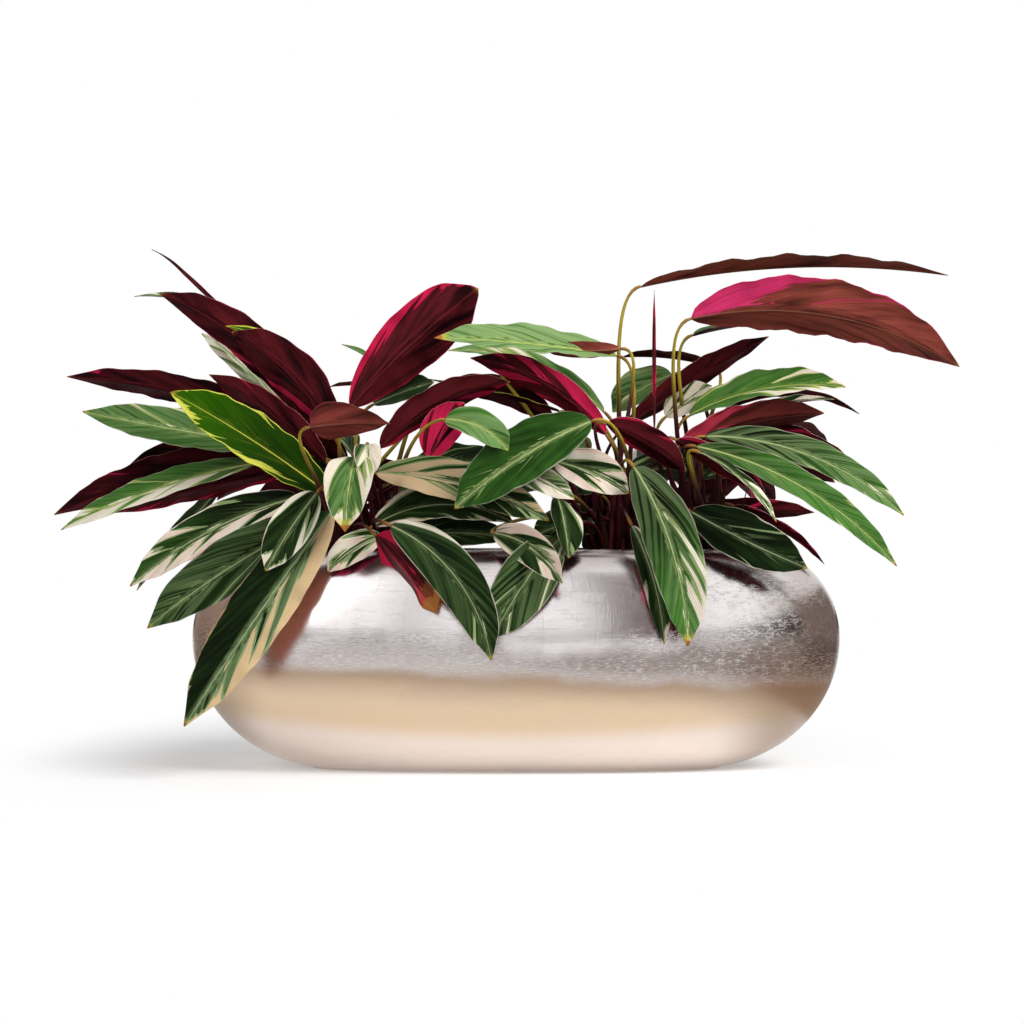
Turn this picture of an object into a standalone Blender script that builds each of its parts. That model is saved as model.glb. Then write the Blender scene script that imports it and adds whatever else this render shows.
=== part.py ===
"""A potted stromanthe: three clumps of leaves in a long oval silver-leafed planter.

Frame: metres, +Z up, origin at the middle of the planter's foot. +X runs along the planter
and -Y is its front. The leaf schedule is written in centimetres and degrees.
"""

import math
from collections import namedtuple

import bmesh
import bpy
import numpy as np
from mathutils import Vector

CM = 0.01
SMOOTH_ANGLE = math.radians(50)   # edges sharper than this stay crisp

# ---------------------------------------------------------------- planter and soil
PLANTER_LENGTH = 0.80
PLANTER_DEPTH = 0.32
PLANTER_HEIGHT = 0.270
MOUTH_LENGTH = 0.62
MOUTH_DEPTH = 0.23
FOOT_INSET_LENGTH = 0.172    # how far the lower curve would draw in, each end, at floor level
FOOT_INSET_DEPTH = 0.09
WIDEST_HEIGHT = 0.160
FOOT_HEIGHT = 0.0025         # the curve stops here and a thin drawn-in foot lifts it off the floor
FOOT_STEP = 0.006            # the foot stands in by this much
PLAN_FULLNESS = 2.5          # exponent of the rounded oval in plan
PLAN_POINTS = 40
LOWER_RINGS = 8              # rings of the lower curve, from the foot to just under the widest
UPPER_SPANS = 5              # spans of the upper curve, from the widest to the rim
RIM_TURN = math.radians(82)  # how far round the upper curve has turned in at the rim
WALL = 0.008
SOIL_BELOW_RIM = 0.030
SEAT_GAP = 0.0003            # touching pieces stand this far apart
RING_SPACE = 0.002           # the compost's top ring stands at least this far over the next
SOIL_TOP = PLANTER_HEIGHT - SOIL_BELOW_RIM

# ---------------------------------------------------------------- clumps, stalks and blades
Clump = namedtuple("Clump", "centre spacing")
CLUMPS = {
    "left": Clump(centre=(-19.0, -0.5), spacing=(1.7, 1.9)),
    "middle": Clump(centre=(12.5, -0.5), spacing=(1.7, 1.9)),
    "right": Clump(centre=(22.5, 0.0), spacing=(1.5, 1.9)),
}
STALK_RADIUS_FOOT = 0.34 * CM
STALK_RADIUS_COLLAR = 0.15 * CM
STALK_STATIONS = 7
STALK_CORNER = math.radians(30)   # the side corners of its hexagonal section
STALK_LIFT = 0.55            # share of its reach for which the stalk keeps upright
STALK_LEAD = 4.5 * CM        # how soon before the collar the stalk turns into line with the blade
MOST_LEAD = 0.5              # but no more than this share of its reach
MIDRIB_STEPS = 24
COLLAR_FULLNESS = 0.5        # exponents of the blade's outline: the lower, the fuller that end
TIP_FULLNESS = 0.8
BLADE_STATIONS = (0.07, 0.20, 0.34, 0.50, 0.66, 0.82, 0.94, 1.0)
BLADE_HALF_THICKNESS = 0.05 * CM
EDGE_HALF_THICKNESS = 0.025 * CM
TIP_HALF_WIDTH = 0.08 * CM

# One leaf: where its blade starts (collar), the way it points in plan (heading: 0 right,
# 90 back, 180 left, 270 front), its slope at the collar and at the tip (rise, fall), its
# length and width, and its roll: 0 looks up, 90 looks to the front, -90 shows its underside
# to the front. cup folds the two halves up along the midrib.
Leaf = namedtuple("Leaf", "name collar heading rise fall length width roll cup", defaults=(18,))
LEAVES = [
    # left clump, from the top round to the bottom
    Leaf("left_01", (-25.5, 4.2, 42.2), 180, 62, 20, 26.3, 5, -62),
    Leaf("left_02", (-22.8, 0, 41.8), 180, 64, 22, 19.5, 7.8, -65),
    Leaf("left_03", (-29.0, 10, 48.3), 180, 68, -8, 24.5, 3.6, 35),
    Leaf("left_04", (-29.5, 12.5, 48.5), 180, 50, 38, 24, 1.2, 5),
    Leaf("left_05", (-29.0, 6.8, 44.2), 178, 51, 34, 15, 3.6, 60),
    Leaf("left_06", (-28.0, 1, 43.0), 183, 20, 4, 28.5, 4.8, -48),
    Leaf("left_07", (-23.5, -1.5, 37.8), 182, 45, 28, 18, 4.5, -55),
    Leaf("left_08", (-28.5, -2.5, 40.0), 180, 8, 13, 25.3, 5.4, 60),
    Leaf("left_09", (-22.8, -5.3, 34.0), 197, 37, 27, 23, 5.5, 60),
    Leaf("left_10", (-27.0, 2.5, 38.3), 180, 14, -22, 22.5, 5, -50),
    Leaf("left_11", (-26.5, 0.3, 38.6), 180, -3, -24, 32, 6, -50),
    Leaf("left_12", (-31.5, -5, 37.5), 184, -10, -28, 25.3, 4, 55),
    Leaf("left_13", (-27.5, -3.5, 36.7), 182, -10, -16, 24, 5, -50),
    Leaf("left_14", (-35.5, 4.5, 36.2), 184, -44, -56, 19, 3, 40),
    Leaf("left_15", (-26.3, -7, 33.3), 188, -14, -42, 23.2, 5.5, 65),
    Leaf("left_16", (-24.0, -9.5, 30.5), 193, -25, -40, 24, 7, 68),
    Leaf("left_17", (-23.8, -12, 33.7), 212, -48, -60, 11.5, 5.2, 60),
    Leaf("left_18", (-22.0, -11.6, 31.5), 204, -52, -56, 31, 7.6, 62),
    Leaf("left_19", (-19.6, -11, 36.8), 264, -30, -75, 11, 7.2, 0),
    Leaf("left_20", (-24.2, -11.5, 39.6), 345, 70, -30, 11, 6, -45),
    Leaf("left_21", (-20.3, -5, 44.2), 0, 50, 36, 21.5, 8.2, -75),
    Leaf("left_22", (-16.5, -5.8, 39.3), 0, 46, 8, 18, 5.2, -48),
    Leaf("left_23", (-8.5, -11.5, 42.5), 335, 0, -50, 9.5, 4.5, 50),
    Leaf("left_24", (-17.0, -7.7, 36.2), 343, 0, -30, 23, 5.5, 68),
    Leaf("left_25", (-15.6, -8.2, 28.3), 350, 40, -32, 16.5, 5, 55),
    Leaf("left_26", (-14.8, -15.3, 29.8), 340, -22, -80, 21, 6, 72),
    Leaf("left_27", (-16.8, -14, 28.2), 322, -40, -60, 10.5, 4.5, -78),
    # middle clump
    Leaf("middle_01", (5.5, -2, 44.0), 188, 14, 12, 17, 2.6, 5),
    Leaf("middle_02", (11.0, -4, 41.0), 186, 50, 8, 19.5, 3, -60),
    Leaf("middle_03", (11.0, 0.5, 44.0), 178, 45, -2, 21.5, 4, 35),
    Leaf("middle_04", (12.5, -2, 50.8), 197, 8, 0, 23.5, 6, 40),
    Leaf("middle_05", (9.0, -11, 42.3), 195, -22, -42, 20, 7.5, 65),
    Leaf("middle_06", (4.5, -10, 37.5), 348, -10, -36, 10, 5.5, 65),
    Leaf("middle_07", (5.0, -11, 33.0), 285, -40, -75, 8.5, 4.5, -20),
    Leaf("middle_08", (5.0, -14.5, 28.2), 205, -45, -62, 14.5, 7, 70),
    Leaf("middle_09", (15.5, 0, 59.6), 355, 16, -12, 38, 5.5, -8),
    Leaf("middle_10", (17.0, -3.5, 41.0), 90, 88, 90, 17.8, 1.0, 0),
    Leaf("middle_11", (14.0, 3.5, 42.5), 0, 36, 28, 21, 4.2, -50),
    Leaf("middle_12", (11.0, -6.5, 42.2), 345, -20, -42, 11.5, 4.5, -60),
    Leaf("middle_13", (14.0, -12.5, 36.8), 318, -50, -88, 23, 7, 38),
    Leaf("middle_14", (13.8, -12.6, 29.8), 315, -55, -85, 15, 3, 45),
    # right clump
    Leaf("right_13", (21.5, -3, 55.3), 350, 12, -34, 34, 8.8, -54, 36),
    Leaf("right_01", (21.5, 0, 43.5), 346, 28, -9, 20, 6.5, 40),
    Leaf("right_02", (24.5, 2, 41.8), 0, 28, 0, 16, 3.5, 20),
    Leaf("right_03", (20.0, -3, 39.5), 0, 24, 2, 18.5, 5.5, -45),
    Leaf("right_04", (23.0, -6, 40.7), 346, 0, -44, 26.5, 5.5, 60),
    Leaf("right_05", (21.7, -8.5, 39.4), 347, -12, -50, 28.5, 5, 60),
    Leaf("right_06", (25.5, 1, 42.0), 0, -4, -34, 18.5, 4.5, -45),
    Leaf("right_07", (22.0, -12, 38.5), 345, -25, -60, 12.5, 3.5, 20),
    Leaf("right_08", (21.0, -10, 31.5), 348, -30, -22, 15.5, 6.5, 68),
    Leaf("right_09", (23.0, 3.5, 32.0), 0, 0, -4, 14.5, 3.6, -10),
    Leaf("right_10", (27.0, 0, 32.3), 345, -20, -45, 13.5, 3.5, -30),
    Leaf("right_12", (19.0, -13.5, 40.3), 350, -5, -60, 12, 4, -20),
    # leaves on the far side
    Leaf("left_28", (-21.0, 9, 39.0), 120, 40, -60, 22, 7, 0),
    Leaf("left_29", (-14.0, 9, 35.0), 60, 20, -60, 20, 6.5, 0),
    Leaf("middle_15", (9.0, 9, 39.0), 120, 30, -60, 22, 7, 0),
    Leaf("right_11", (25.0, 10, 36.0), 55, 20, -55, 17, 6.5, 0),
]

COLOURS = {
    "silver_leaf": ((0.62, 0.55, 0.50), 0.30, 1.0),
    "potting_soil": ((0.055, 0.035, 0.022), 0.95, 0.0),
    "leaf_green": ((0.13, 0.24, 0.06), 0.45, 0.0),
    "leaf_maroon": ((0.09, 0.012, 0.022), 0.40, 0.0),
}


# ---------------------------------------------------------------- scene helpers
def clear_scene():
    for obj in list(bpy.data.objects):
        bpy.data.objects.remove(obj, do_unlink=True)


def make_collection(name, hidden=False):
    collection = bpy.data.collections.new(name)
    collection.hide_render = hidden
    bpy.context.scene.collection.children.link(collection)
    return collection


def make_material(name):
    colour, roughness, metallic = COLOURS[name]
    material = bpy.data.materials.new(name)
    material.use_nodes = True
    shader = material.node_tree.nodes["Principled BSDF"]
    shader.inputs["Base Color"].default_value = (*colour, 1.0)
    shader.inputs["Roughness"].default_value = roughness
    shader.inputs["Metallic"].default_value = metallic
    return material


def make_object(name, bm, material, collection, location=(0, 0, 0)):
    bmesh.ops.recalc_face_normals(bm, faces=bm.faces)
    mesh = bpy.data.meshes.new(name)
    bm.to_mesh(mesh)
    bm.free()
    mesh.materials.append(material)
    mesh.shade_smooth()
    mesh.set_sharp_from_angle(angle=SMOOTH_ANGLE)
    obj = bpy.data.objects.new(name, mesh)
    obj.location = location
    collection.objects.link(obj)
    return obj


def bridge(bm, lower, upper):
    """Quads between two rings of the same number of points."""
    count = len(lower)
    for i in range(count):
        j = (i + 1) % count
        bm.faces.new((lower[i], lower[j], upper[j], upper[i]))


# ---------------------------------------------------------------- planter and soil
def planter_profile():
    """(half length, half depth, height) of each ring, from the foot up to the rim."""
    half_length, half_depth = PLANTER_LENGTH / 2, PLANTER_DEPTH / 2
    rings = []
    start = math.asin(1 - FOOT_HEIGHT / WIDEST_HEIGHT)
    for step in range(LOWER_RINGS):
        angle = start * (1 - step / LOWER_RINGS)
        drawn_in = 1 - math.cos(angle)
        rings.append((
            half_length - FOOT_INSET_LENGTH * drawn_in,
            half_depth - FOOT_INSET_DEPTH * drawn_in,
            WIDEST_HEIGHT * (1 - math.sin(angle)),
        ))
    for step in range(UPPER_SPANS + 1):
        angle = RIM_TURN * step / UPPER_SPANS
        drawn_in = (1 - math.cos(angle)) / (1 - math.cos(RIM_TURN))
        risen = math.sin(angle) / math.sin(RIM_TURN)
        rings.append((
            half_length - (PLANTER_LENGTH - MOUTH_LENGTH) / 2 * drawn_in,
            half_depth - (PLANTER_DEPTH - MOUTH_DEPTH) / 2 * drawn_in,
            WIDEST_HEIGHT + (PLANTER_HEIGHT - WIDEST_HEIGHT) * risen,
        ))
    corner_length, corner_depth, _ = rings[0]
    foot = (corner_length - FOOT_STEP, corner_depth - FOOT_STEP, 0.0)
    return [foot] + rings


def oval_ring(bm, half_length, half_depth, height):
    """Points of a full oval (a superellipse) in plan."""
    power = 2 / PLAN_FULLNESS
    points = []
    for i in range(PLAN_POINTS):
        angle = 2 * math.pi * i / PLAN_POINTS
        c, s = math.cos(angle), math.sin(angle)
        x = half_length * math.copysign(abs(c) ** power, c)
        y = half_depth * math.copysign(abs(s) ** power, s)
        points.append(bm.verts.new((x, y, height)))
    return points


def planter_surface(inset=0.0, top=None):
    """The planter's outer surface as an open cup; inset draws it in, top caps it at a height."""
    bm = bmesh.new()
    profile = planter_profile()
    if top is not None:
        under = [ring for ring in profile if ring[2] < top - RING_SPACE]
        over = profile[len(under)]
        share = (top - under[-1][2]) / (over[2] - under[-1][2])
        cut = tuple(a + (b - a) * share for a, b in zip(under[-1], over))
        profile = under + [cut]
    rings = [oval_ring(bm, a - inset, b - inset, max(z, inset)) for a, b, z in profile]
    bm.faces.new(reversed(rings[0]))
    for lower, upper in zip(rings, rings[1:]):
        bridge(bm, lower, upper)
    if top is not None:
        bm.faces.new(rings[-1])
    return bm


def add_shell(obj, thickness):
    shell = obj.modifiers.new("wall", "SOLIDIFY")
    shell.thickness = thickness
    shell.offset = -1
    shell.use_even_offset = True
    return shell


def build_planter(parts, materials):
    planter = make_object("planter", planter_surface(), materials["silver_leaf"], parts)
    add_shell(planter, WALL)


def build_soil(parts, cutters, materials):
    """The compost fills the planter's inside up to its own level."""
    clearance = make_object(
        "planter_clearance", planter_surface(), materials["silver_leaf"], cutters
    )
    clearance.hide_render = True
    clearance.display_type = "WIRE"
    add_shell(clearance, WALL + SEAT_GAP)
    soil = make_object(
        "potting_soil",
        planter_surface(inset=WALL / 2, top=SOIL_TOP),
        materials["potting_soil"],
        parts,
    )
    cut = soil.modifiers.new("inside_of_planter", "BOOLEAN")
    cut.operation = "DIFFERENCE"
    cut.solver = "EXACT"
    cut.object = clearance


# ---------------------------------------------------------------- leaves
def direction(heading, slope):
    heading, slope = math.radians(heading), math.radians(slope)
    return Vector((
        math.cos(heading) * math.cos(slope),
        math.sin(heading) * math.cos(slope),
        math.sin(slope),
    ))


def midrib(leaf, share):
    """A point of the midrib, share of the way from the collar to the tip."""
    point = Vector(leaf.collar)
    for i in range(round(MIDRIB_STEPS * share)):
        along = (i + 0.5) / MIDRIB_STEPS
        slope = leaf.rise + (leaf.fall - leaf.rise) * along
        point += direction(leaf.heading, slope) * (leaf.length / MIDRIB_STEPS)
    return point * CM


def collar_face(leaf):
    """The way the upper side looks at the collar."""
    heading = math.radians(leaf.heading)
    up = direction(leaf.heading, leaf.rise + 90)
    side = Vector((math.sin(heading), -math.cos(heading), 0))
    if math.cos(heading) < 0:
        side = -side
    roll = math.radians(leaf.roll)
    return up * math.cos(roll) + side * math.sin(roll)


def approach(leaf, lead=STALK_LEAD):
    """The point in line with the blade that the stalk heads for, just short of the collar."""
    return Vector(leaf.collar) * CM - direction(leaf.heading, leaf.rise) * lead


def seats(leaves, clump):
    """Each leaf's foot on the soil: rows from front to back, each row from left to right."""
    rows = math.ceil(math.sqrt(len(leaves)))
    by_depth = sorted(leaves, key=lambda leaf: approach(leaf).y)
    found = {}
    for row in range(rows):
        first, last = len(leaves) * row // rows, len(leaves) * (row + 1) // rows
        members = sorted(by_depth[first:last], key=lambda leaf: approach(leaf).x)
        for column, leaf in enumerate(members):
            x = clump.centre[0] + (column - (len(members) - 1) / 2) * clump.spacing[0]
            y = clump.centre[1] + (row - (rows - 1) / 2) * clump.spacing[1]
            found[leaf.name] = Vector((x * CM, y * CM, SOIL_TOP + SEAT_GAP))
    return found


def stalk(leaf, foot, share):
    """A point of the leaf stalk: it leaves the soil upright and meets the blade in line."""
    collar = Vector(leaf.collar) * CM
    reach = (collar - foot).length
    lift = foot + Vector((0, 0, 1)) * reach * STALK_LIFT
    lead = approach(leaf, min(STALK_LEAD, reach * MOST_LEAD))
    a, b = 1 - share, share
    return foot * a ** 3 + lift * 3 * a * a * b + lead * 3 * a * b * b + collar * b ** 3


def blade_half_width(leaf, share):
    widest = COLLAR_FULLNESS / (COLLAR_FULLNESS + TIP_FULLNESS)
    fullest = widest ** COLLAR_FULLNESS * (1 - widest) ** TIP_FULLNESS
    outline = share ** COLLAR_FULLNESS * (1 - share) ** TIP_FULLNESS
    return max(TIP_HALF_WIDTH, leaf.width * CM / 2 * outline / fullest)


def leaf_sections(leaf, foot):
    """Per station: centre, half width, thickness at the midrib, at the edge, and the fold."""
    stations = []
    for i in range(STALK_STATIONS):
        share = i / (STALK_STATIONS - 1)
        radius = STALK_RADIUS_FOOT + (STALK_RADIUS_COLLAR - STALK_RADIUS_FOOT) * share
        side, edge = radius * math.cos(STALK_CORNER), radius * math.sin(STALK_CORNER)
        stations.append((stalk(leaf, foot, share), side, radius, edge, 0.0))
    for share in BLADE_STATIONS:
        stations.append((
            midrib(leaf, share),
            blade_half_width(leaf, share),
            BLADE_HALF_THICKNESS,
            EDGE_HALF_THICKNESS,
            math.radians(leaf.cup),
        ))
    return stations


def section_axes(leaf, centres):
    """Tangent, face and side at each station, carried both ways from the collar."""
    points = [np.array(point) for point in centres]
    tangents = [Vector(t).normalized() for t in np.gradient(np.array(points), axis=0)]
    tangents[0] = Vector((0, 0, 1))
    faces = [None] * len(points)
    at_collar = STALK_STATIONS - 1
    faces[at_collar] = collar_face(leaf)
    for order in (range(at_collar, -1, -1), range(at_collar, len(points))):
        carried = faces[at_collar]
        for i in order:
            carried = (carried - tangents[i] * carried.dot(tangents[i])).normalized()
            faces[i] = carried
    sides = [face.cross(tangent) for face, tangent in zip(faces, tangents)]
    return faces, sides


def build_leaf(leaf, foot, parts, materials):
    """Stalk and blade as one loft of six-point sections, from the soil to the tip."""
    bm = bmesh.new()
    stations = leaf_sections(leaf, foot)
    faces, sides = section_axes(leaf, [station[0] for station in stations])
    rings = []
    for (centre, half_width, thick, edge, fold), face, side in zip(stations, faces, sides):
        out = side * half_width * math.cos(fold)
        lift = face * half_width * math.sin(fold)
        ring = (
            centre + face * thick,
            centre + out + lift + face * edge,
            centre + out + lift - face * edge,
            centre - face * thick,
            centre - out + lift - face * edge,
            centre - out + lift + face * edge,
        )
        rings.append([bm.verts.new(point - foot) for point in ring])
    bm.faces.new(rings[0])
    for lower, upper in zip(rings, rings[1:]):
        bridge(bm, lower, upper)
    bm.faces.new(reversed(rings[-1]))
    coat = materials["leaf_green" if leaf.roll >= 0 else "leaf_maroon"]
    make_object("leaf_" + leaf.name, bm, coat, parts, location=foot)


def main():
    clear_scene()
    parts = make_collection("potted_stromanthe")
    cutters = make_collection("cutters", hidden=True)
    materials = {name: make_material(name) for name in COLOURS}
    build_planter(parts, materials)
    build_soil(parts, cutters, materials)
    for name, clump in CLUMPS.items():
        leaves = [leaf for leaf in LEAVES if leaf.name.startswith(name)]
        feet = seats(leaves, clump)
        for leaf in leaves:
            build_leaf(leaf, feet[leaf.name], parts, materials)


if __name__ == "__main__":
    main()
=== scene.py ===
"""Dresses a packed potted stromanthe: patterned leaves on their stalks, compost, a long
silver-leafed planter and a plain studio. Plant sizes are in centimetres and degrees, all
others in metres."""

import math
import random
from collections import namedtuple

import bmesh
import bpy
import numpy as np
from bpy.props import EnumProperty, FloatProperty, FloatVectorProperty, IntProperty, PointerProperty
from mathutils import Matrix, Vector, noise


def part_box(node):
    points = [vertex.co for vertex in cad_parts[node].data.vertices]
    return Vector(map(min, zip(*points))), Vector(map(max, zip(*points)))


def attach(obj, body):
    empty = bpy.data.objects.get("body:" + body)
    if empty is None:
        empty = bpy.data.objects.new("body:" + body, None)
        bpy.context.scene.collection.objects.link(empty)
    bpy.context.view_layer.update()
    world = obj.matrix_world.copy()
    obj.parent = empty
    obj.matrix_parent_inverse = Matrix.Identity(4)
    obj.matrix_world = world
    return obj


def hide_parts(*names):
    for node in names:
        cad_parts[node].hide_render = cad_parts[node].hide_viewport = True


bl_info = {
    "name": "Potted stromanthe",
    "version": (1, 0, 0),
    "blender": (4, 5, 0),
    "location": "3D View > Sidebar > Stromanthe",
    "description": "Grows the leaves, compost and planter of a potted stromanthe round its frame",
    "category": "Add Mesh",
}

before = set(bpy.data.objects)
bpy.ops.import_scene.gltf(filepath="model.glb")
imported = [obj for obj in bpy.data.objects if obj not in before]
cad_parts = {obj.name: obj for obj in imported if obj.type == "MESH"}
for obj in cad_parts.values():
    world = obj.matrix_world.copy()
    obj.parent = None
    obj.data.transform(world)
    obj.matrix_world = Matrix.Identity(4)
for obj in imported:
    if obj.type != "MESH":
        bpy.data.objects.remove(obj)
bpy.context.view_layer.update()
PLANTER_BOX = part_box("planter")
SOIL_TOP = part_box("potting_soil")[1].z

CM = 0.01
SEAT_GAP = 0.0003

# ---------------------------------------------------------------- looks of a blade
# cream: share of the blade that is pale. edge: how much the pale keeps to the margin.
# lean: more pale on the +side half. fade: more pale near the collar, or below 0 near the tip.
# blush: pink in the pale. bright: dark green to lime. warm: pale turns peach, maroon turns
# brown. silver: grey-green veil. feather: pale strokes that run out from the midrib.
# rim: pale or crimson line along the margin. burn: withered share of the length at the tip.
Look = namedtuple(
    "Look", "cream edge lean fade blush bright warm silver feather rim burn",
    defaults=(0.08, 0.2, 0.0, 0.0, 0.3, 0.08, 0.0, 0.04, 0.55, 0.3, 0.012),
)
FOREST = Look()
STRIPED = Look(cream=0.40, edge=0.5, feather=0.6, rim=0.6)
GREEN = Look(cream=0.06, bright=0.40, silver=0.05, feather=0.6)
SILVERY = Look(cream=0.10, silver=0.55, bright=0.25, feather=0.7)
LIME = Look(cream=0.15, edge=1.6, bright=1.0, silver=0.0, blush=0.0, feather=0.1, rim=1.0)
MILKY = Look(cream=0.66, edge=0.2, blush=0.45, silver=0.4, rim=1.0)
BLUSH = Look(cream=0.52, edge=0.9, blush=0.8, rim=1.0)
PEACH = Look(cream=0.62, edge=0.3, blush=0.3, warm=0.9, feather=0.8)
WINE = Look(cream=0.05, edge=0.9, rim=0.5)
BROWN = Look(cream=0.04, warm=0.8, rim=0.2)
RUBY = Look(cream=0.42, edge=0.6, blush=0.3, rim=1.0)

# One leaf: where its blade starts (collar), the way it points in plan (heading: 0 right,
# 90 back, 180 left, 270 front), its slope at the collar and at the tip (rise, fall), its
# length and width, and its roll: 0 looks up, 90 looks to the front, -90 shows its underside
# to the front. cup folds the halves up, twist turns the tip, curl bends the last of the tip
# down and full moves the widest part from near the collar (0) to near the tip (1).
Leaf = namedtuple(
    "Leaf", "name collar heading rise fall length width roll look cup twist curl full seed",
    defaults=(18, 0, 0, 0.35, 0),
)


def grown(name, collar, heading, rise, fall, length, width, roll, look, **changes):
    """A leaf whose changes are to its own last fields or, by any other name, to its look."""
    own = {key: changes.pop(key) for key in Leaf._field_defaults if key in changes}
    look = look._replace(**changes)
    return Leaf(name, collar, heading, rise, fall, length, width, roll, look, **own)


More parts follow.
